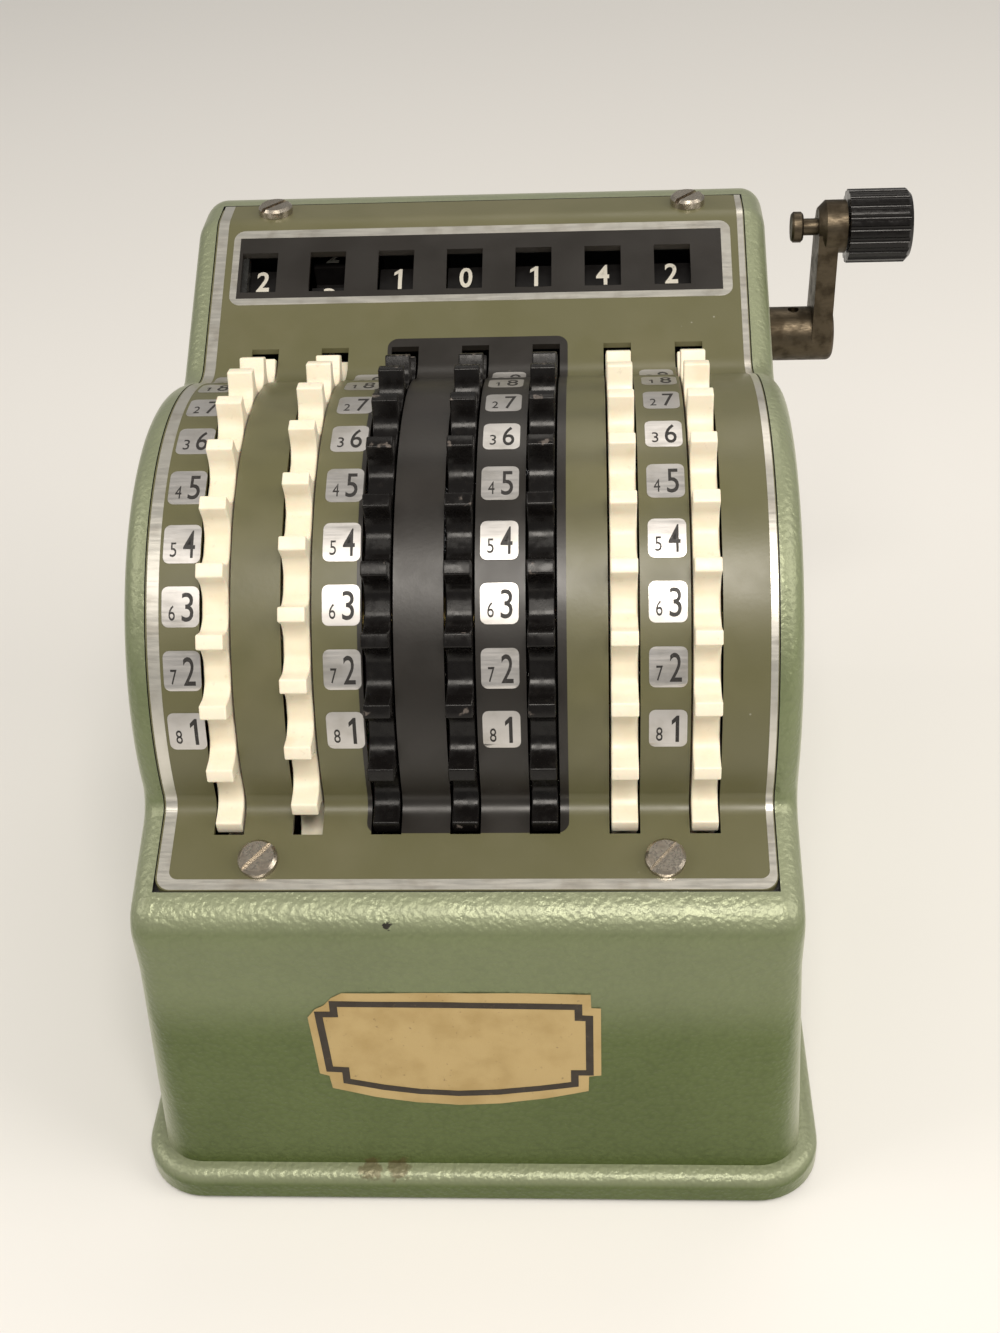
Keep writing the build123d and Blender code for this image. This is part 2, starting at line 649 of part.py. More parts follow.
def carry_lever(x):
    """A tens-carry lever on the carry shaft; its nose stands under the drum's cam."""
    tip_z = DRUM_Z - CAM_NOSE_R - LEVER_TIP_GAP
    tail_y, tail_z = CARRY_Y - LEVER_TAIL, CARRY_Z - LEVER_TAIL_DROP
    outline = [
        (CARRY_Y + LEVER_W / 2, CARRY_Z),
        (DRUM_Y + LEVER_W, tip_z - LEVER_NOSE),
        (DRUM_Y, tip_z),
        (DRUM_Y - LEVER_NOSE, tip_z - LEVER_NOSE),
        (CARRY_Y - LEVER_HUB_R, CARRY_Z),
        (tail_y, tail_z),
        (tail_y + LEVER_NOSE, tail_z - 2 * LEVER_NOSE),
        (CARRY_Y, CARRY_Z - LEVER_HUB_R / 2),
    ]
    left = x + DRUM_RIGHT + CAM_GAP
    lever = slab(left, LEVER_T, outline) + disc(left, LEVER_T, LEVER_HUB_R, CARRY_Y, CARRY_Z)
    collar = disc(left + LEVER_T, LEVER_W, CARRY_SHAFT_R + LEVER_COLLAR_T, CARRY_Y, CARRY_Z)
    hole = disc(left, LEVER_T + LEVER_W, CARRY_SHAFT_R + RUN, CARRY_Y, CARRY_Z)
    return lever + collar - hole


# ---------------------------------------------------------------- crank
def crank_shaft():
    """The shaft that carries the drums and comes out on the right for the crank."""
    start = FRAME_LEFT_X - SHAFT_PROUD
    shaft = disc(start, BOSS_X - start, SHAFT_R, DRUM_Y, DRUM_Z)
    shaft += disc(BOSS_X, STUB_LEN, STUB_R, DRUM_Y, DRUM_Z)
    pin_x = BOSS_X + SET_PIN_X
    return shaft - Pos(pin_x, DRUM_Y, DRUM_Z) * Cylinder(SET_PIN_R, 4 * STUB_R)


def crank_bush():
    """The flanged bush in the housing wall."""
    inner = HOUSING_HALF_W - WALL
    bush = disc(inner, WALL + BUSH_PROUD, BUSH_R, DRUM_Y, DRUM_Z)
    bush += disc(inner - BUSH_FLANGE_T, BUSH_FLANGE_T, BUSH_FLANGE_R, DRUM_Y, DRUM_Z)
    return bush - disc(inner - BUSH_FLANGE_T, REACH, SHAFT_R + RUN, DRUM_Y, DRUM_Z)


def crank_arm():
    """Boss, tapered arm and hub in one piece."""
    boss = disc(BOSS_X, BOSS_LEN, BOSS_R, DRUM_Y, DRUM_Z)
    boss = fillet(boss.edges().group_by(Axis.X)[-1], BOSS_EDGE)
    blade = make_face(
        Polyline(
            (DRUM_Y - BOSS_R, DRUM_Z),
            (DRUM_Y + BOSS_R, DRUM_Z),
            (DRUM_Y + ARM_W / 2, KNOB_Z),
            (DRUM_Y - ARM_W / 2, KNOB_Z),
            close=True,
        )
    )
    arm = boss + extrude(side_plane(ARM_IN_X) * blade, amount=ARM_T)
    hub = disc(ARM_IN_X, HUB_END_X - ARM_IN_X, HUB_TOP_R, DRUM_Y, KNOB_Z)
    arm += chamfer(hub.edges().group_by(Axis.X)[0], HUB_CHAMFER)
    arm -= disc(BOSS_X, STUB_LEN, STUB_R, DRUM_Y, DRUM_Z)
    arm -= disc(ARM_IN_X, HUB_END_X - ARM_IN_X, PIN_R + RUN, DRUM_Y, KNOB_Z)
    pin_x = BOSS_X + SET_PIN_X
    return arm - Pos(pin_x, DRUM_Y, DRUM_Z) * Cylinder(SET_PIN_R, 4 * BOSS_R)


def crank_set_pin():
    """The cross pin that keys the boss to the shaft, sunk a little at both ends."""
    length = 2 * (sqrt(BOSS_R**2 - SET_PIN_R**2) - SET_PIN_DEEP)
    return Pos(BOSS_X + SET_PIN_X, DRUM_Y, DRUM_Z) * Cylinder(SET_PIN_R, length)


def knob_pin():
    """The sprung pin through the arm: head and neck inside, stem in the knob."""
    neck_x = ARM_IN_X - PIN_NECK
    pin = disc(neck_x - PIN_HEAD_T, PIN_HEAD_T, PIN_HEAD_R, DRUM_Y, KNOB_Z)
    pin = chamfer(pin.edges(), PIN_HEAD_EDGE)
    pin += disc(neck_x, PIN_NECK, PIN_NECK_R, DRUM_Y, KNOB_Z)
    return pin + disc(ARM_IN_X, KNOB_X + PIN_IN_KNOB - ARM_IN_X, PIN_R, DRUM_Y, KNOB_Z)


def crank_knob():
    """The fluted grip, with a chamfered outer end and a blind bore."""
    section = Circle(KNOB_R) - PolarLocations(KNOB_R + FLUTE_R / 2, KNOB_FLUTES) * Circle(FLUTE_R)
    grip = disc(KNOB_X, KNOB_LEN, KNOB_R, DRUM_Y, KNOB_Z)
    grip = chamfer(grip.edges().group_by(Axis.X)[-1], KNOB_CHAMFER)
    grip &= extrude(side_plane(KNOB_X) * Pos(DRUM_Y, KNOB_Z) * section, amount=KNOB_LEN)
    return grip - disc(KNOB_X, PIN_IN_KNOB + PIN_END_GAP, PIN_R + RUN, DRUM_Y, KNOB_Z)


# ---------------------------------------------------------------- the whole machine
def place(piece):
    """Move a piece, or a list of separate pieces, into the resting frame."""
    if isinstance(piece, list):
        return Compound([Pos(SHIFT) * p for p in piece])
    return Pos(SHIFT) * piece


def all_pieces():
    """Every named piece of the calculator, in the axle's frame."""
    wheel_edge = wheel_profile()
    drum_edge = drum_profile()
    pieces = {
        "housing_shell": housing_shell(),
        "face_plate": face_plate(),
        "plate_screws": plate_screws(),
        "base_plate": base_plate(),
        "rubber_feet": rubber_feet(),
        "base_screws": base_screws(),
        "frame_plate_left": frame_plate(FRAME_LEFT_X, -1),
        "frame_plate_right": frame_plate(FRAME_RIGHT_X, 1),
        "frame_rivets": frame_rivets(),
        "tie_rods": [headed_rod(ROD_R, ROD_NUT_R, ROD_NUT_T, y, ROD_Z) for y in ROD_YS],
        "wheel_axle": headed_rod(AXLE_R, AXLE_HEAD_R, AXLE_HEAD_T, 0, 0),
        "wheel_spacers": wheel_spacers(),
        "carry_shaft": headed_rod(CARRY_SHAFT_R, LEVER_HUB_R, AXLE_HEAD_T, CARRY_Y, CARRY_Z),
        "detent_bar": detent_bar(),
        "detent_comb": detent_comb(),
        "crank_bush": crank_bush(),
        "crank_shaft": crank_shaft(),
        "drum_collars": drum_collars(),
        "crank_arm": crank_arm(),
        "crank_set_pin": crank_set_pin(),
        "knob_pin": knob_pin(),
        "crank_knob": crank_knob(),
    }
    for i, x in enumerate(COLUMN_X):
        turn = HALF_STEP if i + 1 == HALF_STEP_COLUMN else 0.0
        pieces[f"finger_wheel_{i + 1}"] = finger_wheel(x, turn, wheel_edge)
        pieces[f"number_drum_{i + 1}"] = number_drum(x, -GEAR_RATIO * turn, drum_edge)
        if i < COLUMNS - 1:
            pieces[f"carry_lever_{i + 1}"] = carry_lever(x)
    return pieces


os.makedirs("parts", exist_ok=True)
for name, piece in all_pieces().items():
    export_step(place(piece), f"parts/{name}.step")
print("shift of the axle frame:", tuple(round(v, 4) for v in SHIFT))
print("drum shaft:", round(DRUM_Y, 4), round(DRUM_Z, 4))
print("carry shaft:", round(CARRY_Y, 4), round(CARRY_Z, 4))
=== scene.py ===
"""A seven-column desk adding machine with finger wheels, dressed for its picture.

Sizes are in millimetres about the finger wheels' axle (x right, y back, z up), unless a name says
otherwise.  The machine's place comes from the frame's joints.
"""

import json
import logging
import math
from dataclasses import dataclass, field
from enum import Enum
from functools import cache
from typing import Callable, Iterable

import bmesh
import bpy
from mathutils import Matrix, Vector


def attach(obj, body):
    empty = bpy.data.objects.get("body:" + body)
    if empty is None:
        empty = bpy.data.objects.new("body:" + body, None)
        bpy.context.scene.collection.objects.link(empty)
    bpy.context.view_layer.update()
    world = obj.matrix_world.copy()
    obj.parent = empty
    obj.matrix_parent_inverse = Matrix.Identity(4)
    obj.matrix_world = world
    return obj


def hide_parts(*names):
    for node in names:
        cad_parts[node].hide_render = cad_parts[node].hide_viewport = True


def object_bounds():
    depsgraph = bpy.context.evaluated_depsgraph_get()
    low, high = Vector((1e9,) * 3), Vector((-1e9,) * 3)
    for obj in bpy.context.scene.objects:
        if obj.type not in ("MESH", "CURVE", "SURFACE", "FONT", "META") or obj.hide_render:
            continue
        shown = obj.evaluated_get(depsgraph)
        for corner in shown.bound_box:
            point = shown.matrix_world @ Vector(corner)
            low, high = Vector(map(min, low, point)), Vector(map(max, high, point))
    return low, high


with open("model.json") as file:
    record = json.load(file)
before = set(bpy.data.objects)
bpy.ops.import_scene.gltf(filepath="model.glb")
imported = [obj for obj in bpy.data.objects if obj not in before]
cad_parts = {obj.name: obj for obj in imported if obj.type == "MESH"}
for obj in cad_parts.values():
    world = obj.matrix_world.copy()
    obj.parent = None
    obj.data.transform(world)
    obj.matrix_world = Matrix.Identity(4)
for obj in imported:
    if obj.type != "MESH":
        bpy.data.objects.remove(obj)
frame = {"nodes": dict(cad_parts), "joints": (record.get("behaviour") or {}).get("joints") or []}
CAD_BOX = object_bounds()

MM = 0.001
LOG = logging.getLogger("adding_machine")
Triple = tuple[float, float, float]
Pairs = tuple[tuple[float, float], ...]
Colour = Triple
Surface = Callable[[float, float, float], Vector]
Socket = bpy.types.NodeSocket
BMesh = bmesh.types.BMesh


# ------------------------------------------------------------------ places
@dataclass(frozen=True)
class Machine:
    """Where the machine's axles and columns are, in the frame's metres."""

    axle: Vector
    drum_axle: Vector
    columns: tuple[float, ...]

    @classmethod
    def from_frame(cls) -> "Machine":
        """Read the places from the frame's joints.

        Returns:
            The machine's axles and the middle of each column.
        """
        spots = {j["name"]: Vector(j["pos_m"]) for j in frame["joints"] if "pos_m" in j}
        wheels = [spots[name] for name in sorted(spots) if name.startswith("wheel_")]
        middle = wheels[len(wheels) // 2]
        columns = tuple((w.x - middle.x) / MM for w in wheels)
        return cls(axle=middle, drum_axle=spots["drum_4_turn"], columns=columns)

    def place(self, x: float, y: float, z: float) -> Vector:
        """Turn millimetres about the wheels' axle into the frame's metres."""
        return self.axle + Vector((x, y, z)) * MM


MACHINE = Machine.from_frame()


# ------------------------------------------------------------------ shaders
class Shader:
    """A material's node tree, with short calls for the nodes that the finishes use."""

    def __init__(self, name: str) -> None:
        """Start a material with a Principled shader and object coordinates."""
        self.material = bpy.data.materials.new(name)
        self.material.use_nodes = True
        self.tree = self.material.node_tree
        self.bsdf = self.tree.nodes["Principled BSDF"]
        self.coords = self.tree.nodes.new("ShaderNodeTexCoord").outputs["Object"]

    def feed(self, socket: Socket, value: object) -> None:
        """Link a socket to another, or set its value.

        Args:
            socket: The input to fill.
            value: An output socket, a number, a colour or a vector.
        """
        if isinstance(value, Socket):
            self.tree.links.new(value, socket)
        elif socket.type == "RGBA":
            socket.default_value = (*value, 1.0)
        else:
            socket.default_value = value

    def node(
        self, kind: str, inputs: dict[str | int, object], **settings: object
    ) -> bpy.types.Node:
        """Add a node.

        Args:
            kind: Its bl_idname without the ShaderNode prefix.
            inputs: What goes into its sockets, by name or number.
            settings: Its properties.

        Returns:
            The new node.
        """
        made = self.tree.nodes.new("ShaderNode" + kind)
        for name, value in settings.items():
            setattr(made, name, value)
        for key, value in inputs.items():
            self.feed(made.inputs[key], value)
        return made

    def noise(self, size_mm: float, detail: float = 3.0, vector: object = None) -> Socket:
        """Noise whose blots are about size_mm across."""
        inputs = {"Vector": vector or self.coords, "Scale": 1 / (size_mm * MM), "Detail": detail}
        return self.node("TexNoise", inputs).outputs["Fac"]

    def cells(self, size_mm: float, feature: str = "SMOOTH_F1", vector: object = None) -> Socket:
        """Distance to the middle of cells about size_mm across."""
        inputs = {"Vector": vector or self.coords, "Scale": 1 / (size_mm * MM)}
        return self.node("TexVoronoi", inputs, feature=feature).outputs["Distance"]

    def stretched(self, x: float, y: float, z: float) -> Socket:
        """Object coordinates scaled along each axis."""
        inputs = {"Vector": self.coords, "Scale": (x, y, z)}
        return self.node("Mapping", inputs).outputs["Vector"]

    def maths(self, operation: str, a: object, b: object = 0.0, clamp: bool = False) -> Socket:
        """One Math node."""
        return self.node("Math", {0: a, 1: b}, operation=operation, use_clamp=clamp).outputs[0]

    def ramp(
        self, value: object, low: float, high: float, start: float = 0.0, end: float = 1.0
    ) -> Socket:
        """A smooth step from start to end as value goes from low to high."""
        inputs = {"Value": value, "From Min": low, "From Max": high, "To Min": start, "To Max": end}
        made = self.node("MapRange", inputs, interpolation_type="SMOOTHSTEP")
        return made.outputs["Result"]

    def mix(self, share: object, first: object, second: object) -> Socket:
        """A mix of two colours."""
        made = self.tree.nodes.new("ShaderNodeMix")
        made.data_type = "RGBA"
        for key, value in ((0, share), (6, first), (7, second)):
            self.feed(made.inputs[key], value)
        return made.outputs[2]

    def spot(self, centre: Vector, radius_mm: float, ragged: float = 0.5) -> Socket:
        """A ragged spot round a place in the frame: 1 inside and 0 outside."""
        offset = self.distance(self.coords, centre)
        wobble = self.ramp(self.noise(radius_mm * 0.7), 0.3, 0.7, 1 - ragged, 1 + ragged)
        reach = self.maths("MULTIPLY", wobble, radius_mm * MM)
        return self.ramp(self.maths("DIVIDE", offset, reach), 0.75, 1.05, 1.0, 0.0)

    def distance(self, place: object, centre: Vector) -> Socket:
        """Distance between two places, in metres."""
        inputs = {0: place, 1: centre}
        return self.node("VectorMath", inputs, operation="DISTANCE").outputs["Value"]

    def radius(self, axle: Vector) -> Socket:
        """Distance from an axle that runs along x, in metres."""
        inputs = {0: self.coords, 1: (0.0, 1.0, 1.0)}
        flat = self.node("VectorMath", inputs, operation="MULTIPLY").outputs[0]
        return self.distance(flat, Vector((0.0, axle.y, axle.z)))

    def bump(self, height: object, depth_mm: float, strength: float = 1.0) -> None:
        """Drive the shader's normal from a height of 0 to 1 that stands for depth_mm."""
        inputs = {"Height": height, "Distance": depth_mm * MM, "Strength": strength}
        self.feed(self.bsdf.inputs["Normal"], self.node("Bump", inputs).outputs["Normal"])

    def dress(self, **sockets: object) -> bpy.types.Material:
        """Fill the Principled shader's sockets; underscores stand for spaces.

        Returns:
            The finished material.
        """
        for name, value in sockets.items():
            self.feed(self.bsdf.inputs[name.replace("_", " ")], value)
        return self.material


# ------------------------------------------------------------------ finishes
@dataclass(frozen=True)
class HammerPaint:
    """Light green hammer-finish paint with shallow dimples, stained here and there; its pearly
    paleness is a painted sheen.
    """

    name: str = "hammer_green"
    light: Colour = (0.096, 0.130, 0.036)
    dark: Colour = (0.060, 0.086, 0.018)
    # painted sheen: a pale colour laid on upward, upper and grazing faces in place of the lamp's
    # highlight and reflections
    pearl: Colour = (0.44, 0.46, 0.33)
    # heights over which the front wall's top gets a painted highlight
    bleached: tuple[float, float] = (-40.0, -26.0)
    stain: Colour = (0.11, 0.075, 0.03)
    metal: Colour = (0.03, 0.028, 0.022)
    # painted shade: near-black colour for the shell under the face plate, where it lies in the dark
    primer: Colour = (0.012, 0.012, 0.011)
    dimple_mm: float = 0.85
    depth_mm: float = 0.16
    stain_places: tuple[Triple, ...] = ((-19.3, -71.0, -69.2), (-14.2, -71.2, -69.2))
    stain_mm: float = 2.2
    chip_mm: float = 0.7
    chip_place: Triple = (-12.3, -65.0, -12.3)
    mouth: tuple[Triple, Triple] = ((-51.2, -60.4, -16.0), (51.2, 66.3, 60.0))

    def inside(self, s: Shader) -> Socket:
        """1 under the face plate, where the shell is made near-black as painted shade.

        Args:
            s: The shader to add to.

        Returns:
            The mask.
        """
        low, high = (MACHINE.place(*corner) for corner in self.mouth)
        axes = s.node("SeparateXYZ", {0: s.coords}).outputs
        mask: object = 1.0
        for axis, floor, ceiling in zip(axes, low, high):
            above, below = s.maths("GREATER_THAN", axis, floor), s.maths("LESS_THAN", axis, ceiling)
            mask = s.maths("MULTIPLY", mask, s.maths("MULTIPLY", above, below))
        return mask

    def paleness(self, s: Shader) -> Socket:
        """Painted sheen: paler colour on the faces that look up, along the front wall's top and at
        grazing angles, in place of highlights and reflections.

        Args:
            s: The shader to add to.

        Returns:
            The share of the painted sheen colour.
        """
        normal = s.node("NewGeometry", {}).outputs["Normal"]
        # painted highlight on upward faces and along the front wall's top, painted reflection at
        # grazing angles
        up = s.ramp(s.node("SeparateXYZ", {0: normal}).outputs[2], 0.02, 0.8, 0.0, 0.5)
        low, high = (MACHINE.place(0, 0, z).z for z in self.bleached)
        height = s.ramp(s.node("SeparateXYZ", {0: s.coords}).outputs[2], low, high, 0.0, 0.22)
        facing = s.node("LayerWeight", {"Blend": 0.5}).outputs["Facing"]
        grazing = s.ramp(facing, 0.45, 0.95, 0.0, 0.8)
        return s.maths("MAXIMUM", s.maths("MAXIMUM", up, height), grazing)

    def build(self) -> bpy.types.Material:
        """Make the material."""
        s = Shader(self.name)
        dimples = s.cells(self.dimple_mm)
        fine = s.noise(self.dimple_mm * 0.4, 2.0)
        height = s.maths("ADD", dimples, s.maths("MULTIPLY", fine, 0.4))
        veins = s.ramp(dimples, 0.25, 0.75)
        cloud = s.ramp(s.noise(26.0, 5.0), 0.35, 0.7)
        clouds = s.maths("MULTIPLY", cloud, 0.35)
        tone = s.maths("ADD", s.maths("MULTIPLY", veins, 0.4), clouds, True)
        colour = s.mix(tone, self.light, self.dark)
        # painted sheen laid over the paint's own colour
        colour = s.mix(self.paleness(s), colour, self.pearl)
        for spot in self.stain_places:
            mask = s.maths("MULTIPLY", s.spot(MACHINE.place(*spot), self.stain_mm, 0.25), 0.6)
            colour = s.mix(mask, colour, self.stain)
        chip = s.spot(MACHINE.place(*self.chip_place), self.chip_mm)
        colour = s.mix(chip, colour, self.metal)
        inside = self.inside(s)
        # painted shade inside the shell under the plate
        colour = s.mix(inside, colour, self.primer)
        rough = s.ramp(s.noise(6.0, 4.0), 0.3, 0.7, 0.34, 0.44)
        s.bump(height, self.depth_mm)
        metallic = s.ramp(inside, 0.0, 1.0, 0.35, 0.0)
        return s.dress(
            Base_Color=colour, Roughness=rough, Metallic=metallic, Specular_IOR_Level=0.35,
            Coat_Weight=0.2, Coat_Roughness=0.3,
        )


@dataclass(frozen=True)
class SatinPaint:
    """Satin paint on sheet metal, with a fine skin, faint rubbing and a few specks."""

    name: str
    colour: Colour
    rubbed: Colour
    speck: Colour = (0.35, 0.34, 0.28)
    roughness: float = 0.38
    skin_mm: float = 0.7

    def build(self) -> bpy.types.Material:
        """Make the material."""
        s = Shader(self.name)
        rubbing = s.ramp(s.noise(16.0, 5.0), 0.42, 0.75, 0.0, 0.6)
        colour = s.mix(rubbing, self.colour, self.rubbed)
        specks = s.ramp(s.cells(5.0, "F1"), 0.035, 0.06, 0.7, 0.0)
        kept = s.ramp(s.noise(19.0), 0.52, 0.6)
        colour = s.mix(s.maths("MULTIPLY", specks, kept), colour, self.speck)
        rough = s.ramp(s.noise(9.0, 6.0), 0.3, 0.7, self.roughness - 0.05, self.roughness + 0.07)
        s.bump(s.noise(self.skin_mm, 3.0), 0.012)
        return s.dress(Base_Color=colour, Roughness=rough, Coat_Weight=0.1, Coat_Roughness=0.3)


@dataclass(frozen=True)
class SilverPrint:
    """Bright bare metal showing through the paint, lightly brushed and tarnished."""

    name: str
    bright: Colour = (0.66, 0.64, 0.58)
    dull: Colour = (0.52, 0.49, 0.43)

    def build(self) -> bpy.types.Material:
        """Make the material."""
        s = Shader(self.name)
        grain = s.noise(0.5, 3.0, s.stretched(0.08, 1.0, 1.0))
        tarnish = s.ramp(s.noise(4.5, 6.0), 0.45, 0.75)
        colour = s.mix(tarnish, self.bright, self.dull)
        rough = s.ramp(grain, 0.3, 0.7, 0.30, 0.42)
        s.bump(grain, 0.004)
        return s.dress(Base_Color=colour, Roughness=rough, Metallic=0.85)


@dataclass(frozen=True)
class Ink:
    """Printed figures, a little worn."""

    name: str
    colour: Colour
    worn: Colour

    def build(self) -> bpy.types.Material:
        """Make the material."""
        s = Shader(self.name)
        wear = s.ramp(s.noise(0.8, 5.0), 0.6, 0.75, 0.0, 0.6)
        rough = s.ramp(s.noise(2.0), 0.3, 0.7, 0.45, 0.6)
        return s.dress(Base_Color=s.mix(wear, self.colour, self.worn), Roughness=rough)


@dataclass(frozen=True)
class IvoryPlastic:
    """Aged ivory plastic, yellower and dirtier down in the scoops."""

    name: str = "ivory_plastic"
    clean: Colour = (0.87, 0.80, 0.64)
    aged: Colour = (0.74, 0.62, 0.42)
    grime: Colour = (0.24, 0.16, 0.08)
    floor_mm: float = 44.6

    def build(self) -> bpy.types.Material:
        """Make the material."""
        s = Shader(self.name)
        radius = s.radius(MACHINE.axle)
        cloud = s.ramp(s.noise(5.0, 5.0), 0.45, 0.8, 0.0, 0.45)
        colour = s.mix(cloud, self.clean, self.aged)
        low = s.ramp(radius, self.floor_mm * MM, (self.floor_mm + 1.6) * MM, 0.30, 0.0)
        colour = s.mix(low, colour, self.aged)
        streaks = s.ramp(s.noise(1.1, 6.0), 0.62, 0.72)
        inside = s.ramp(radius, (self.floor_mm - 1.5) * MM, self.floor_mm * MM, 1.0, 0.12)
        colour = s.mix(s.maths("MULTIPLY", streaks, inside), colour, self.grime)
        rough = s.ramp(s.noise(3.0, 4.0), 0.3, 0.7, 0.34, 0.5)
        s.bump(s.noise(1.2, 3.0), 0.015)
        s.bsdf.inputs["Subsurface Scale"].default_value = 0.0015
        return s.dress(
            Base_Color=colour, Roughness=rough, Subsurface_Weight=0.12, Coat_Weight=0.1,
            Coat_Roughness=0.3,
        )


@dataclass(frozen=True)
class BlackPlastic:
    """Glossy black moulded plastic with a little dust, and pale worn spots outside a radius."""

    name: str
    colour: Colour = (0.006, 0.0052, 0.005)
    dust: Colour = (0.05, 0.044, 0.038)
    worn: Colour = (0.20, 0.17, 0.15)
    roughness: float = 0.18
    dust_share: float = 0.15
    worn_mm: float = 0.0

    def build(self) -> bpy.types.Material:
        """Make the material."""
        s = Shader(self.name)
        dust = s.ramp(s.noise(2.2, 7.0), 0.55, 0.8, 0.0, self.dust_share)
        specks = s.ramp(s.cells(1.6, "F1"), 0.05, 0.10, self.dust_share, 0.0)
        share = s.maths("MAXIMUM", dust, specks)
        rough = s.ramp(s.noise(1.5, 6.0), 0.35, 0.7, self.roughness, self.roughness + 0.16)
        colour = s.mix(share, self.colour, self.dust)
        if self.worn_mm:
            outside = s.maths("GREATER_THAN", s.radius(MACHINE.axle), self.worn_mm * MM)
            spots = s.ramp(s.noise(2.3, 5.0), 0.61, 0.68, 0.0, 0.55)
            colour = s.mix(s.maths("MULTIPLY", outside, spots), colour, self.worn)
        s.bump(s.noise(0.9, 3.0), 0.008)
        return s.dress(Base_Color=colour, Roughness=rough, Specular_IOR_Level=0.25)


@dataclass(frozen=True)
class Metal:
    """Bare or plated metal with tarnish, grime and a machined or rolled grain."""

    name: str
    bright: Colour
    tarnish: Colour
    roughness: float = 0.32
    grain: Triple = (1.0, 1.0, 1.0)
    grain_mm: float = 0.35
    tarnish_mm: float = 2.0
    tarnish_share: float = 0.7

    def build(self) -> bpy.types.Material:
        """Make the material."""
        s = Shader(self.name)
        tarnish = s.ramp(s.noise(self.tarnish_mm, 7.0), 0.42, 0.68, 0.0, self.tarnish_share)
        colour = s.mix(tarnish, self.bright, self.tarnish)
        grain = s.noise(self.grain_mm, 4.0, s.stretched(*self.grain))
        clean = s.ramp(grain, 0.3, 0.7, self.roughness - 0.06, self.roughness + 0.08)
        rough = s.maths("ADD", clean, s.maths("MULTIPLY", tarnish, 0.18))
        s.bump(grain, 0.02)
        return s.dress(Base_Color=colour, Roughness=rough, Metallic=1.0)


@dataclass(frozen=True)
class Paper:
    """Old glossy paper, browned in clouds and darker at a few scuffs."""

    name: str = "label_paper"
    fresh: Colour = (0.47, 0.34, 0.145)
    browned: Colour = (0.39, 0.27, 0.10)
    scuff: Colour = (0.13, 0.08, 0.035)

    def build(self) -> bpy.types.Material:
        """Make the material."""
        s = Shader(self.name)
        cloud = s.ramp(s.noise(7.0, 6.0), 0.38, 0.72)
        colour = s.mix(cloud, self.fresh, self.browned)
        scuffs = s.ramp(s.noise(0.9, 7.0), 0.66, 0.74, 0.0, 0.55)
        colour = s.mix(scuffs, colour, self.scuff)
        fibre = s.noise(0.25, 5.0)
        s.bump(s.maths("ADD", fibre, s.noise(6.0)), 0.03)
        return s.dress(Base_Color=colour, Roughness=s.ramp(fibre, 0.3, 0.7, 0.42, 0.6))


@dataclass(frozen=True)
class Rubber:
    """Dull black rubber with dust in its skin."""

    name: str = "foot_rubber"
    colour: Colour = (0.02, 0.02, 0.02)
    dust: Colour = (0.08, 0.075, 0.07)

    def build(self) -> bpy.types.Material:
        """Make the material."""
        s = Shader(self.name)
        dust = s.ramp(s.noise(1.5, 6.0), 0.45, 0.75, 0.0, 0.6)
        s.bump(s.noise(0.4, 4.0), 0.03)
        rough = s.ramp(dust, 0.0, 0.6, 0.6, 0.85)
        return s.dress(Base_Color=s.mix(dust, self.colour, self.dust), Roughness=rough)


@dataclass(frozen=True)
class StudioPaint:
    """The pale floor."""

    name: str = "pale_floor"
    colour: Colour = (0.80, 0.79, 0.77)
    cloud: Colour = (0.74, 0.73, 0.71)

    def build(self) -> bpy.types.Material:
        """Make the material."""
        s = Shader(self.name)
        tone = s.ramp(s.noise(300.0), 0.3, 0.7, 0.0, 0.15)
        return s.dress(Base_Color=s.mix(tone, self.colour, self.cloud), Roughness=0.8)


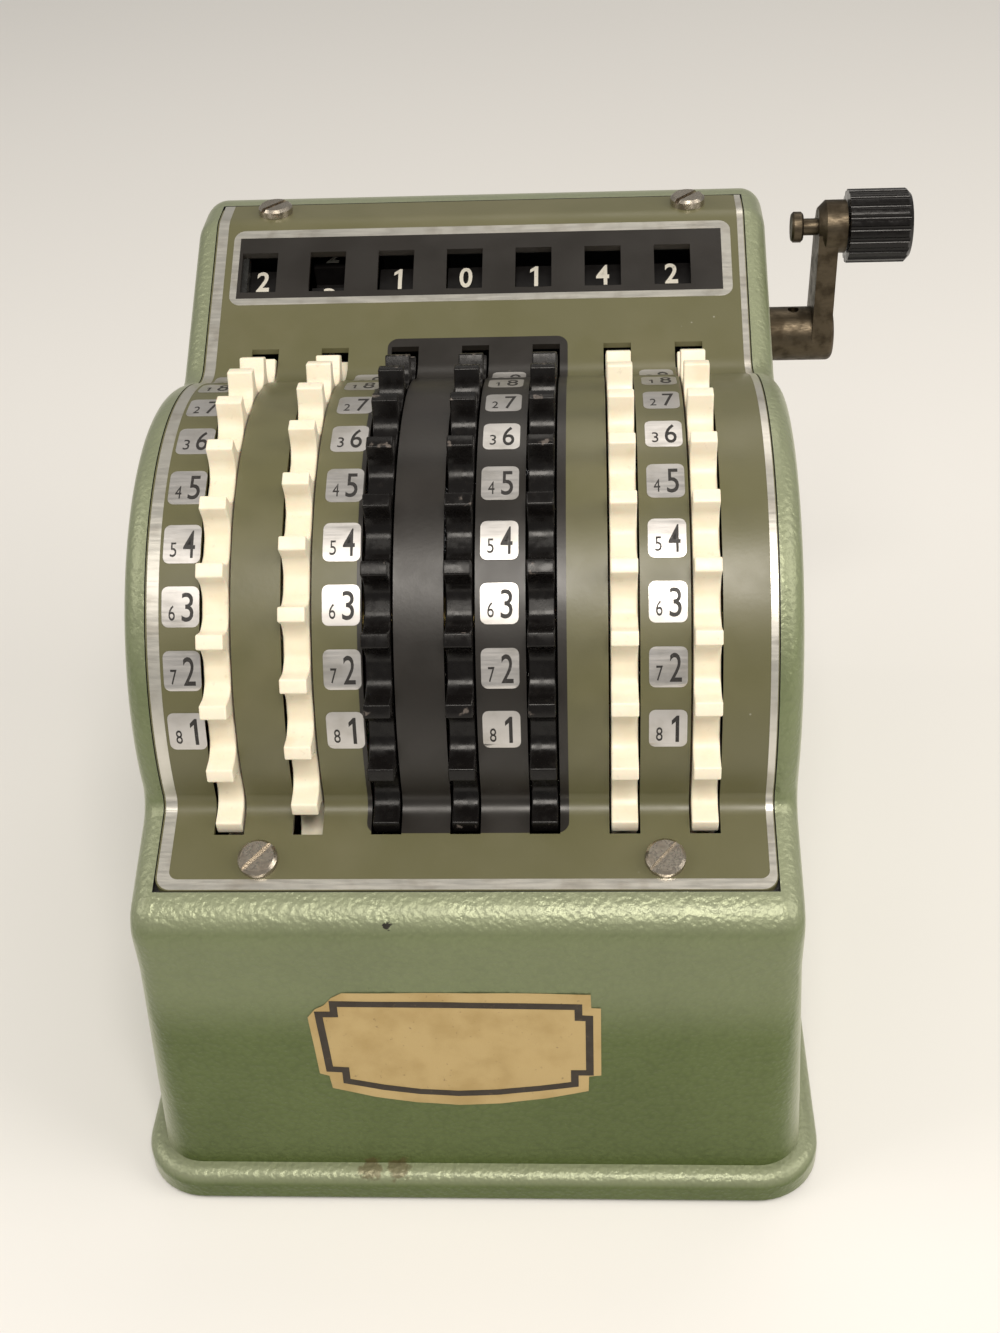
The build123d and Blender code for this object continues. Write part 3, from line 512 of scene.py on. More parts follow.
class Finish(Enum):
    """The machine's finishes."""

    HAMMER = HammerPaint()
    PLATE = SatinPaint("plate_olive", (0.112, 0.107, 0.049), (0.140, 0.130, 0.068))
    FIELD = SatinPaint(
        "panel_black", (0.014, 0.0115, 0.009), (0.022, 0.018, 0.015), (0.12, 0.11, 0.09), 0.36
    )
    SILVER = SilverPrint("silver_line")
    CHIP = SilverPrint("silver_chip", (0.62, 0.60, 0.58), (0.50, 0.48, 0.45))
    BLACK_INK = Ink("black_figures", (0.018, 0.016, 0.015), (0.12, 0.115, 0.11))
    WHITE_INK = Ink("white_figures", (0.80, 0.76, 0.66), (0.35, 0.33, 0.28))
    IVORY = IvoryPlastic()
    BLACK = BlackPlastic("black_wheel", worn_mm=49.45)
    DRUM = BlackPlastic("black_drum", roughness=0.42, dust_share=0.05)
    KNOB = BlackPlastic("black_knob", roughness=0.14, dust_share=0.1)
    NICKEL = Metal(
        "aged_nickel", (0.50, 0.45, 0.38), (0.22, 0.18, 0.14), 0.28,
        tarnish_mm=1.8, tarnish_share=0.5,
    )
    CRANK = Metal(
        "dull_crank", (0.100, 0.080, 0.055), (0.045, 0.034, 0.022), 0.42, (0.3, 1.0, 1.0),
        tarnish_mm=2.6,
    )
    SHEET = Metal(
        "plated_sheet", (0.48, 0.48, 0.46), (0.25, 0.24, 0.22), 0.42, (0.06, 1.0, 1.0),
        tarnish_mm=9.0,
    )
    FRAME = Metal(
        "rolled_frame", (0.42, 0.42, 0.43), (0.18, 0.165, 0.15), 0.38, (1.0, 0.06, 1.0),
        tarnish_mm=7.0,
    )
    ROD = Metal(
        "turned_steel", (0.56, 0.55, 0.54), (0.20, 0.18, 0.16), 0.25, (3.0, 0.1, 0.1),
        tarnish_mm=4.0,
    )
    SPRING = Metal(
        "spring_strip", (0.36, 0.37, 0.41), (0.16, 0.15, 0.15), 0.28, (0.1, 1.0, 1.0),
        tarnish_mm=4.0,
    )
    BRASS = Metal(
        "turned_brass", (0.62, 0.46, 0.20), (0.24, 0.15, 0.06), 0.28, (3.0, 0.1, 0.1),
        tarnish_mm=4.0,
    )
    RUBBER = Rubber()
    PAPER = Paper()
    LABEL_LINE = Ink("label_line", (0.022, 0.013, 0.005), (0.10, 0.065, 0.025))
    FLOOR = StudioPaint()

    @cache
    def material(self) -> bpy.types.Material:
        """The finish's material, made once.

        Returns:
            The material.
        """
        return self.value.build()


# ------------------------------------------------------------------ the plate's side line
@dataclass(frozen=True)
class Straight:
    """A straight stretch of the side line."""

    start: Vector
    end: Vector

    @property
    def length(self) -> float:
        """Its length."""
        return (self.end - self.start).length

    def at(self, along: float, lift: float) -> Vector:
        """The point that far along it, lifted off on its outer side."""
        run = (self.end - self.start).normalized()
        return self.start + run * along + Vector((-run.y, run.x)) * lift


@dataclass(frozen=True)
class Bow:
    """A round stretch of the side line; a hollow one bends round a centre outside the machine."""

    centre: Vector
    radius: float
    start: Vector
    end: Vector
    hollow: bool

    @property
    def turn(self) -> float:
        """How far it turns, in radians."""
        return (self.start - self.centre).angle(self.end - self.centre)

    @property
    def length(self) -> float:
        """Its length."""
        return self.radius * self.turn

    def at(self, along: float, lift: float) -> Vector:
        """The point that far along it, lifted off on its outer side."""
        spoke = self.start - self.centre
        angle = along / self.radius * (1 if self.hollow else -1)
        turned = Matrix.Rotation(angle, 2) @ spoke.normalized()
        return self.centre + turned * (self.radius + (-lift if self.hollow else lift))


@dataclass
class SideLine:
    """The face plate's outer line from the side: shelf, arc over the wheels, flat and top strip.

    A place on it is s, the millimetres from the plate's lower edge.
    """

    arc_r: float = 45.05
    fold_angle: float = -4.98
    shelf_slope: float = 18.85
    shelf_len: float = 16.1
    flat_slope: float = 28.03
    window: Vector = field(default_factory=lambda: Vector((48.1, 49.1)))
    bend_up: float = 11.7
    strip_len: float = 7.6
    fold_r: float = 3.0
    saddle_r: float = 7.0
    bend_r: float = 6.0

    def __post_init__(self) -> None:
        """Work out the line's stretches."""
        shelf = self.direction(self.shelf_slope)
        flat = self.direction(self.flat_slope)
        turn = math.radians(self.fold_angle)
        fold = Vector((-math.cos(turn), math.sin(turn))) * self.arc_r
        fold_centre = self.hollow_centre(fold, shelf, self.fold_r, -1)
        saddle_centre = self.hollow_centre(self.window, flat, self.saddle_r, 1)
        on_shelf = fold_centre - self.outward(shelf) * self.fold_r
        on_flat = saddle_centre - self.outward(flat) * self.saddle_r
        bend = self.window + flat * self.bend_up
        reach = self.bend_r * math.tan(math.radians(self.flat_slope / 2))
        strip_start = bend + Vector((reach, 0))
        bend_centre = strip_start - Vector((0, self.bend_r))
        lower = fold_centre * (self.arc_r / (self.arc_r + self.fold_r))
        upper = saddle_centre * (self.arc_r / (self.arc_r + self.saddle_r))
        self.stretches: list[Straight | Bow] = [
            Straight(fold - shelf * self.shelf_len, on_shelf),
            Bow(fold_centre, self.fold_r, on_shelf, lower, True),
            Bow(Vector((0, 0)), self.arc_r, lower, upper, False),
            Bow(saddle_centre, self.saddle_r, upper, on_flat, True),
            Straight(on_flat, bend - flat * reach),
            Bow(bend_centre, self.bend_r, bend - flat * reach, strip_start, False),
            Straight(strip_start, bend + Vector((self.strip_len, 0))),
        ]
        self.flat = flat

    @staticmethod
    def direction(slope: float) -> Vector:
        """The unit vector that climbs to the back at a slope in degrees."""
        return Vector((math.cos(math.radians(slope)), math.sin(math.radians(slope))))

    @staticmethod
    def outward(run: Vector) -> Vector:
        """The outer side of a run."""
        return Vector((-run.y, run.x))

    def hollow_centre(self, point: Vector, run: Vector, radius: float, side: int) -> Vector:
        """The centre of a hollow fillet between the arc and a straight run.

        Args:
            point: Any point of the run.
            run: Its unit direction.
            radius: The fillet's radius.
            side: 1 where the fillet lies to the back, -1 where it lies to the front.

        Returns:
            The fillet's centre.
        """
        out = self.outward(run)
        off = point.dot(out) + radius
        along = math.sqrt((self.arc_r + radius) ** 2 - off**2)
        return out * off + run * (side * along)

    @property
    def length(self) -> float:
        """The whole line's length."""
        return sum(part.length for part in self.stretches)

    def before(self, index: int) -> float:
        """The length before a stretch."""
        return sum(part.length for part in self.stretches[:index])

    def on_shelf(self, down: float) -> float:
        """The place that far below the sharp fold."""
        return self.shelf_len - down

    def on_arc(self, angle: float) -> float:
        """The place at an angle above the forward horizontal, in degrees."""
        start = self.stretches[2].start
        first = math.atan2(start.y, -start.x)
        return self.before(2) + self.arc_r * (math.radians(angle) - first)

    def on_flat(self, up: float) -> float:
        """The place that far above the number windows' middle."""
        start = self.stretches[4].start
        return self.before(4) + (self.window - start).dot(self.flat) + up

    def point(self, x: float, s: float, lift: float) -> Vector:
        """A place on the plate in the frame's metres.

        Args:
            x: Across the machine.
            s: Along the line.
            lift: Off the plate's outer face.

        Returns:
            The place in the frame.
        """
        along = s
        for part in self.stretches[:-1]:
            if along <= part.length:
                break
            along -= part.length
        else:
            part = self.stretches[-1]
        spot = part.at(along, lift)
        return MACHINE.place(x, spot.x, spot.y)


SIDE = SideLine()


# ------------------------------------------------------------------ mesh tools
@dataclass(frozen=True)
class Rect:
    """A rectangle on the unrolled plate."""

    left: float
    right: float
    low: float
    high: float

    @property
    def corners(self) -> Pairs:
        """Its corners, counter-clockwise."""
        left, right, low, high = self.left, self.right, self.low, self.high
        return (left, low), (right, low), (right, high), (left, high)

    def holds(self, point: Vector) -> bool:
        """Whether a point is inside it."""
        return self.left < point.x < self.right and self.low < point.y < self.high

    def shrunk(self, by: float) -> "Rect":
        """The rectangle that lies inside it by a distance."""
        return Rect(self.left + by, self.right - by, self.low + by, self.high - by)


def flat_face(corners: Iterable[tuple[float, float]]) -> BMesh:
    """A flat face from a few corners.

    Args:
        corners: Its corners in order, counter-clockwise.

    Returns:
        A mesh with one face.
    """
    mesh = bmesh.new()
    mesh.faces.new([mesh.verts.new((x, y, 0.0)) for x, y in corners])
    return mesh


def bevel(mesh: BMesh, geometry: list, offset: float, segments: int, kind: str) -> None:
    """Bevel corners ("VERTICES") or edges ("EDGES") of a mesh."""
    bmesh.ops.bevel(
        mesh, geom=geometry, offset=offset, offset_type="OFFSET", segments=segments, profile=0.5,
        affect=kind, material=-1,
    )


def round_corners(
    mesh: BMesh, places: Iterable[tuple[float, float]], radius: float, segments: int = 6
) -> None:
    """Round the corners that stand at the given places.

    Args:
        mesh: The flat mesh.
        places: The corners' places.
        radius: How far the rounding reaches from each corner.
        segments: Its number of steps.
    """
    spots = [Vector((x, y, 0.0)) for x, y in places]
    corners = [v for v in mesh.verts if any((v.co - spot).length < 1e-4 for spot in spots)]
    bevel(mesh, corners, radius, segments, "VERTICES")


def round_rect(rect: Rect, radius: float, segments: int = 6) -> BMesh:
    """A flat rectangular face with round corners.

    Args:
        rect: The rectangle.
        radius: How far the rounding reaches from each corner.
        segments: Its number of steps.

    Returns:
        A mesh with one face.
    """
    mesh = flat_face(rect.corners)
    round_corners(mesh, rect.corners, radius, segments)
    return mesh


def cut(mesh: BMesh, axis: int, place: float) -> None:
    """Cut a flat mesh across x (axis 0) or y (axis 1) at a place, and keep both sides."""
    normal = Vector((1 - axis, axis, 0))
    geometry = [*mesh.verts, *mesh.edges, *mesh.faces]
    bmesh.ops.bisect_plane(mesh, geom=geometry, dist=1e-6, plane_co=normal * place, plane_no=normal)


def cut_borders(mesh: BMesh, rects: Iterable[Rect]) -> None:
    """Cut a flat mesh along the lines of rectangles' borders."""
    rects = list(rects)
    for axis in (0, 1):
        for place in sorted({round(corner[axis], 6) for rect in rects for corner in rect.corners}):
            cut(mesh, axis, place)


def cut_holes(mesh: BMesh, holes: Iterable[Rect]) -> None:
    """Cut rectangular holes through a flat mesh.

    Args:
        mesh: The flat mesh.
        holes: The rectangles to take out.
    """
    holes = list(holes)
    cut_borders(mesh, holes)
    gone = [f for f in mesh.faces if any(hole.holds(f.calc_center_median()) for hole in holes)]
    bmesh.ops.delete(mesh, geom=gone, context="FACES")


def wrap(mesh: BMesh, surface: Surface, step: float, low: float, high: float, lift: float) -> None:
    """Bend a flat mesh over a surface, cutting it across often enough to follow.

    Args:
        mesh: The flat mesh, x across and y along.
        surface: Gives the place in the frame of x, s and lift.
        step: The longest run of a face along the bend.
        low: The lowest s of the mesh.
        high: The highest s of the mesh.
        lift: How far the mesh lies off the surface.
    """
    count = max(1, math.ceil((high - low) / step))
    for i in range(1, count):
        cut(mesh, 1, low + (high - low) * i / count)
    for v in mesh.verts:
        v.co = surface(v.co.x, v.co.y, lift)


def thicken(mesh: BMesh, thickness_mm: float) -> None:
    """Give a bent sheet a thickness on its inner side, and close it."""
    bmesh.ops.solidify(mesh, geom=mesh.faces[:], thickness=thickness_mm * MM)
    bmesh.ops.recalc_face_normals(mesh, faces=mesh.faces[:])


def finished(
    mesh: BMesh, name: str, finish: Finish, body: str, slot: str, smooth_deg: float = 35.0
) -> bpy.types.Object:
    """Turn a mesh into a piece that rides on a body.

    Args:
        mesh: The mesh, in the frame's metres; it is freed.
        name: The piece's name.
        finish: Its finish.
        body: The body that carries it.
        slot: The record's material slot it belongs to; not used.
        smooth_deg: Edges sharper than this stay sharp.

    Returns:
        The piece's object.
    """
    data = bpy.data.meshes.new(name)
    mesh.to_mesh(data)
    mesh.free()
    data.polygons.foreach_set("use_smooth", [True] * len(data.polygons))
    data.set_sharp_from_angle(angle=math.radians(smooth_deg))
    data.materials.append(finish.material())
    piece = bpy.data.objects.new(name, data)
    bpy.context.scene.collection.objects.link(piece)
    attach(piece, body)
    LOG.info("%s: %d faces on %s", name, len(data.polygons), body)
    return piece


def soften(
    piece: bpy.types.Object, width_mm: float, angle_deg: float = 50.0, segments: int = 2
) -> None:
    """Break a piece's sharp edges.

    Args:
        piece: The piece.
        width_mm: The width of the rounding.
        angle_deg: Edges that turn less than this are left.
        segments: The rounding's number of steps.
    """
    rounding = piece.modifiers.new("edges", "BEVEL")
    rounding.width = width_mm * MM
    rounding.segments = segments
    rounding.limit_method = "ANGLE"
    rounding.angle_limit = math.radians(angle_deg)
    rounding.harden_normals = False


def joined(parts: Iterable[BMesh]) -> BMesh:
    """Put several meshes into one and free them."""
    whole = bmesh.new()
    for part in parts:
        data = bpy.data.meshes.new("part")
        part.to_mesh(data)
        part.free()
        whole.from_mesh(data)
        bpy.data.meshes.remove(data)
    return whole


@dataclass(frozen=True)
class Figure:
    """A printed figure: its height, width and weight."""

    height: float
    width: float
    weight: float = 0.0
    one_share: float = 0.62
    flagged_one: Pairs = (
        (0.52, 0.0), (1.0, 0.0), (1.0, 1.0), (0.66, 1.0), (0.0, 0.82), (0.0, 0.66), (0.52, 0.78),
    )

    def written(self, digit: str) -> BMesh:
        """A figure of the font as a flat mesh."""
        curve = bpy.data.curves.new("figure", "FONT")
        curve.body = digit
        curve.offset = self.weight
        curve.resolution_u = 4
        writing = bpy.data.objects.new("figure", curve)
        data = bpy.data.meshes.new_from_object(writing)
        mesh = bmesh.new()
        mesh.from_mesh(data)
        bpy.data.objects.remove(writing)
        bpy.data.curves.remove(curve)
        bpy.data.meshes.remove(data)
        bmesh.ops.remove_doubles(mesh, verts=mesh.verts[:], dist=1e-5)
        return mesh

    def mesh(self, digit: str, x: float, y: float) -> BMesh:
        """The flat figure centred at x and y.

        Args:
            digit: The figure to write.
            x: Its middle across.
            y: Its middle along.

        Returns:
            A flat mesh.
        """
        one = digit == "1"
        mesh = flat_face(self.flagged_one) if one else self.written(digit)
        xs = [v.co.x for v in mesh.verts]
        ys = [v.co.y for v in mesh.verts]
        width = self.width * (self.one_share if one else 1.0)
        scale = Vector((width / (max(xs) - min(xs)), self.height / (max(ys) - min(ys)), 1.0))
        middle = Vector(((max(xs) + min(xs)) / 2, (max(ys) + min(ys)) / 2, 0.0))
        bmesh.ops.translate(mesh, verts=mesh.verts[:], vec=-middle)
        bmesh.ops.scale(mesh, verts=mesh.verts[:], vec=scale)
        bmesh.ops.translate(mesh, verts=mesh.verts[:], vec=(x, y, 0.0))
        return mesh


# ------------------------------------------------------------------ face plate
@dataclass
class FacePlate:
    """The curved plate with its slots and windows, and everything printed on it."""

    half_width: float = 51.0
    thickness: float = 1.0
    corner: float = 2.5
    slot_width: float = 5.1
    slot_low: float = 5.9
    slot_high: float = 18.0
    window_width: float = 6.9
    window_span: tuple[float, float] = (-4.5, 4.15)
    window_chamfer: float = 0.6
    window_shift: float = -2.5
    edge_round: float = 0.12
    bend_step: float = 0.9
    print_step: float = 0.7
    print_thickness: float = 0.05
    print_lift: float = 0.03
    chip_lift: float = 0.06
    ink_lift: float = 0.085
    border: tuple[float, float, float, float] = (-50.75, -48.8, 49.7, 50.85)
    border_low: tuple[float, float] = (0.15, 2.03)
    border_corners: tuple[float, float] = (2.4, 1.5)
    frame_outer: Rect = Rect(-47.5, 48.3, -7.9, 9.5)
    frame_inner: Rect = Rect(-46.2, 46.5, -6.4, 7.7)
    frame_corner: float = 2.2
    panel: Rect = Rect(-16.5, 17.2, 5.7, 16.2)
    panel_corner: float = 2.0
    panel_inset: float = 0.3
    panel_columns: tuple[int, ...] = (2, 3, 4)
    chip_columns: tuple[float, ...] = (-45.2, -19.06, 6.47, 33.4)
    chip_width: float = 6.16
    chip_height: float = 6.6
    chip_corner: float = 1.05
    first_chip: float = 14.3
    chip_step: float = 13.28
    chips: int = 9
    large: Figure = Figure(4.7, 1.95, 0.004)
    large_at: tuple[float, float] = (0.19, -0.01)
    small: Figure = Figure(2.45, 1.05)
    small_at: tuple[float, float] = (-0.23, -0.15)

    def slots(self) -> list[Rect]:
        """The finger slots on the unrolled plate."""
        low, high = SIDE.on_shelf(self.slot_low), SIDE.on_flat(-self.slot_high)
        half = self.slot_width / 2
        return [Rect(x - half, x + half, low, high) for x in MACHINE.columns]

    def windows(self, chamfer: float = 0.0) -> list[Rect]:
        """The number windows on the unrolled plate, with their lower edge's chamfer."""
        low, high = SIDE.on_flat(self.window_span[0] - chamfer), SIDE.on_flat(self.window_span[1])
        half = self.window_width / 2
        spots = [x + self.window_shift for x in MACHINE.columns]
        return [Rect(x - half, x + half, low, high) for x in spots]

    def on_flat(self, rect: Rect) -> Rect:
        """A rectangle given about the windows' middle, on the unrolled plate."""
        return Rect(rect.left, rect.right, SIDE.on_flat(rect.low), SIDE.on_flat(rect.high))

    def panel_rect(self) -> Rect:
        """The black panel on the unrolled plate."""
        panel = self.panel
        return Rect(panel.left, panel.right, SIDE.on_shelf(panel.low), SIDE.on_flat(-panel.high))

    def chamfer_sills(self, mesh: BMesh) -> None:
        """Chamfer the lower edge of each number window.

        Args:
            mesh: The thickened plate.
        """
        line = SIDE.point(0.0, SIDE.on_flat(self.window_span[0]), 0.0)
        near = [v for v in mesh.verts if (v.co - line).yz.length < 1e-6]
        edges = {e for v in near for e in v.link_edges if e.other_vert(v) in near}
        sills = [e for e in edges if e.calc_face_angle(0.0) > 1.0]
        bevel(mesh, sills, self.window_chamfer * MM, 1, "EDGES")
        LOG.info("chamfered %d window edges", len(sills))

    def sheet(self) -> None:
        """The plate itself, black all through under its black fields, as its cut edges are."""
        mesh = round_rect(Rect(-self.half_width, self.half_width, 0.0, SIDE.length), self.corner)
        cut_holes(mesh, self.slots() + self.windows())
        panel = self.panel_rect().shrunk(self.panel_corner * self.panel_inset)
        dark = [self.on_flat(self.frame_inner), panel]
        cut_borders(mesh, dark)
        for face in mesh.faces:
            face.material_index = int(any(rect.holds(face.calc_center_median()) for rect in dark))
        wrap(mesh, SIDE.point, self.bend_step, 0.0, SIDE.length, 0.0)
        thicken(mesh, self.thickness)
        self.chamfer_sills(mesh)
        piece = finished(mesh, "face_plate_sheet", Finish.PLATE, "housing", "plate_paint", 30)
        piece.data.materials.append(Finish.FIELD.material())
        soften(piece, self.edge_round)
        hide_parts("face_plate")

    def printed(self, mesh: BMesh, name: str, finish: Finish, lift: float = 0.0) -> None:
        """Lay a flat mesh on the plate as a thin printed layer.

        Args:
            mesh: The flat mesh on the unrolled plate.
            name: The piece's name.
            finish: Its finish.
            lift: How far its top is off the plate; print_lift if 0.
        """
        places = [v.co.y for v in mesh.verts]
        low, high = min(places), max(places)
        wrap(mesh, SIDE.point, self.print_step, low, high, lift or self.print_lift)
        thicken(mesh, self.print_thickness)
        finished(mesh, name, finish, "housing", "plate_paint")

    def border_line(self) -> None:
        """The silver line up both sides and along the lower edge."""
        left, left_in, right_in, right = self.border
        low, low_in = self.border_low
        top = SIDE.length - 0.1
        outer, inner = ((left, low), (right, low)), ((right_in, low_in), (left_in, low_in))
        ends = (right, top), (right_in, top)
        mesh = flat_face(((left, top), *outer, *ends, *inner, (left_in, top)))
        for corners, radius in zip((outer, inner), self.border_corners):
            round_corners(mesh, corners, radius)
        self.printed(mesh, "border_line", Finish.SILVER)

    def window_field(self) -> None:
        """The black field round the number windows and its silver frame."""
        field_rect = self.on_flat(self.frame_inner)
        ring = round_rect(self.on_flat(self.frame_outer), self.frame_corner)
        cut_holes(ring, [field_rect])
        self.printed(ring, "window_frame_line", Finish.SILVER)
        black = flat_face(field_rect.corners)
        cut_holes(black, self.windows(self.window_chamfer))
        self.printed(black, "window_field", Finish.FIELD)

    def black_panel(self) -> None:
        """The black panel round the three middle columns."""
        mesh = round_rect(self.panel_rect(), self.panel_corner)
        slots = self.slots()
        cut_holes(mesh, [slots[i] for i in self.panel_columns])
        self.printed(mesh, "middle_panel", Finish.FIELD)

    def scales(self) -> None:
        """The silver chips with a large figure and its small complement, beside the columns."""
        for number, x in enumerate(self.chip_columns, 1):
            chips, figures = [], []
            for k in range(1, self.chips + 1):
                s = SIDE.on_arc(self.first_chip + self.chip_step * (k - 1))
                half_w, half_h = self.chip_width / 2, self.chip_height / 2
                rect = Rect(x - half_w, x + half_w, s - half_h, s + half_h)
                chips.append(round_rect(rect, self.chip_corner, 4))
                for figure, digit, (across, up) in (
                    (self.large, k, self.large_at), (self.small, self.chips - k, self.small_at)
                ):
                    place = x + across * self.chip_width, s + up * self.chip_height
                    figures.append(figure.mesh(str(digit), *place))
            self.printed(joined(chips), f"scale_chips_{number}", Finish.CHIP, self.chip_lift)
            figures_name = f"scale_figures_{number}"
            self.printed(joined(figures), figures_name, Finish.BLACK_INK, self.ink_lift)

    def build(self) -> None:
        """Make the plate and its printing."""
        self.sheet()
        self.border_line()
        self.window_field()
        self.black_panel()
        self.scales()


# ------------------------------------------------------------------ finger wheels
@dataclass
class FingerWheels:
    """The toothed wheels that stand out of the plate."""

    teeth: int = 27
    tip_r: float = 49.7
    scoop: float = 5.1
    land: float = 2.4
    root: float = 3.4
    root_fillet: float = 2.7
    land_round: float = 0.3
    width: float = 4.4
    rim: float = 6.0
    web: float = 1.6
    edge_round: float = 0.25
    hub_r: float = 7.5
    hub_len: float = 9.0
    bore_r: float = 4.05
    half_step_column: int = 2
    half_step: float = -4.98
    ivory_columns: tuple[int, ...] = (1, 2, 6, 7)

    def rim_mesh(self) -> BMesh:
        """The rim with its scoops: one tooth turned round the axle, then given its width.

        Returns:
            The rim about the x axis, in millimetres.
        """
        floor_r = self.tip_r - self.scoop
        inner_r = floor_r - self.rim
        half = math.pi / self.teeth
        root_y = math.sqrt(floor_r**2 - (self.root / 2) ** 2)
        tip_y = math.sqrt(self.tip_r**2 - (self.land / 2) ** 2)
        seam = Vector((math.cos(half), math.sin(half)))
        flank = Vector((root_y, self.root / 2)), Vector((tip_y, self.land / 2))
        outline = [seam * inner_r, seam * floor_r, *flank]
        outline += [Vector((p.x, -p.y)) for p in reversed(outline)]
        mesh = bmesh.new()
        mesh.faces.new([mesh.verts.new((0.0, p.x, p.y)) for p in outline])
        root, land = (self.root_fillet, self.root, 7), (self.land_round, self.land, 3)
        for radius, width, steps in (root, land):
            corners = [v for v in mesh.verts if abs(abs(v.co.z) - width / 2) < 1e-6]
            bevel(mesh, corners, radius, steps, "VERTICES")
        turns = self.teeth - 1
        bmesh.ops.spin(
            mesh, geom=mesh.faces[:1], cent=(0, 0, 0), axis=(1, 0, 0), steps=turns,
            angle=2 * math.pi * turns / self.teeth, use_duplicate=True,
        )
        bmesh.ops.remove_doubles(mesh, verts=mesh.verts[:], dist=1e-4)
        bmesh.ops.translate(mesh, verts=mesh.verts[:], vec=(-self.width / 2, 0, 0))
        grown = bmesh.ops.extrude_face_region(mesh, geom=mesh.faces[:])["geom"]
        moved = [v for v in grown if isinstance(v, bmesh.types.BMVert)]
        bmesh.ops.translate(mesh, verts=moved, vec=(self.width, 0, 0))
        bmesh.ops.recalc_face_normals(mesh, faces=mesh.faces[:])
        return mesh

    def centre_mesh(self) -> BMesh:
        """The web and the hub, turned from half their section.

        Returns:
            The web and hub about the x axis, in millimetres.
        """
        web, hub = self.web / 2, self.hub_len / 2
        rim_r = self.tip_r - self.scoop - self.rim + 0.5
        section = ((-hub, self.bore_r), (-hub, self.hub_r), (-web, self.hub_r), (-web, rim_r))
        section += tuple((-x, r) for x, r in reversed(section))
        return turned(section, 72)

    def build(self) -> None:
        """Make and place every wheel."""
        between = MACHINE.drum_axle - MACHINE.axle
        centre_angle = math.atan2(between.z, between.y)
        for number, x in enumerate(MACHINE.columns, 1):
            mesh = joined([self.rim_mesh(), self.centre_mesh()])
            step = self.half_step if number == self.half_step_column else 0.0
            turn = centre_angle + math.radians(step)
            turned_mm = Matrix.Rotation(turn, 4, "X") @ Matrix.Scale(MM, 4)
            place = Matrix.Translation(MACHINE.place(x, 0, 0)) @ turned_mm
            bmesh.ops.transform(mesh, matrix=place, verts=mesh.verts[:])
            ivory = number in self.ivory_columns
            finish, slot = (Finish.IVORY, "wheel_ivory") if ivory else (Finish.BLACK, "wheel_black")
            piece = finished(mesh, f"toothed_wheel_{number}", finish, f"wheel_{number}", slot)
            soften(piece, self.edge_round, 55, 3)
            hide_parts(f"finger_wheel_{number}")


def turned(section: Iterable[tuple[float, float]], steps: int) -> BMesh:
    """A closed piece turned about the x axis.

    Args:
        section: Its closed half section as x and radius.
        steps: The number of steps round.

    Returns:
        The piece, with its normals outwards.
    """
    mesh = bmesh.new()
    ring = [mesh.verts.new((x, r, 0.0)) for x, r in section]
    edges = [mesh.edges.new((ring[i - 1], ring[i])) for i in range(len(ring))]
    bmesh.ops.spin(
        mesh, geom=[*ring, *edges], cent=(0, 0, 0), axis=(1, 0, 0), angle=2 * math.pi, steps=steps,
        use_merge=True,
    )
    bmesh.ops.remove_doubles(mesh, verts=mesh.verts[:], dist=1e-5)
    bmesh.ops.recalc_face_normals(mesh, faces=mesh.faces[:])
    return mesh


# ------------------------------------------------------------------ number drums
@dataclass
class NumberDrums:
    """The figures on the drums' lobes; the drums themselves are the frame's."""

    radius: float = 18.9
    digits: int = 10
    shown: tuple[int, ...] = (2, 3, 1, 0, 1, 4, 2)
    window_angle: float = 116.17
    raised: float = 2.4
    gear_ratio: float = 2.7
    figure: Figure = Figure(4.9, 2.5, 0.02)
    lift: float = 0.05
    thickness: float = 0.08
    shift: float = -2.5

    def surface(self, column: float, start: float) -> Surface:
        """The drum's outer face, unrolled.

        Args:
            column: The column's middle.
            start: The angle of s = 0 about the drum's axle, in radians from the back.

        Returns:
            A function from x, s and lift to the frame.
        """

        def place(x: float, s: float, lift: float) -> Vector:
            angle = start - s / self.radius
            reach = (self.radius + lift) * MM
            spoke = Vector((0, math.cos(angle), math.sin(angle))) * reach
            across = MACHINE.axle.x + (column + self.shift + x) * MM
            return Vector((across, MACHINE.drum_axle.y, MACHINE.drum_axle.z)) + spoke

        return place

    def build(self) -> None:
        """Make the figures of every drum."""
        wheels = FingerWheels()
        for number, x in enumerate(MACHINE.columns, 1):
            turn = -self.gear_ratio * wheels.half_step if number == wheels.half_step_column else 0.0
            figures = []
            for j in range(self.digits):
                digit = (self.shown[number - 1] + j) % self.digits
                mesh = self.figure.mesh(str(digit), 0.0, 0.0)
                angle = self.window_angle - self.raised + turn + 360.0 / self.digits * j
                half = self.figure.height / 2
                wrap(mesh, self.surface(x, math.radians(angle)), 0.7, -half, half, self.lift)
                figures.append(mesh)
            mesh = joined(figures)
            thicken(mesh, self.thickness)
            name, body = f"drum_figures_{number}", f"drum_{number}"
            finished(mesh, name, Finish.WHITE_INK, body, "drum_black")
            dress_node(f"number_drum_{number}", Finish.DRUM)


def dress_node(name: str, finish: Finish) -> None:
    """Give one of the frame's own nodes its finish.

    Args:
        name: The node.
        finish: The finish for all its slots.
    """
    node = frame["nodes"][name]
    for place in node.material_slots:
        place.material = finish.material()
    LOG.info("%s: %s", name, finish.value.name)


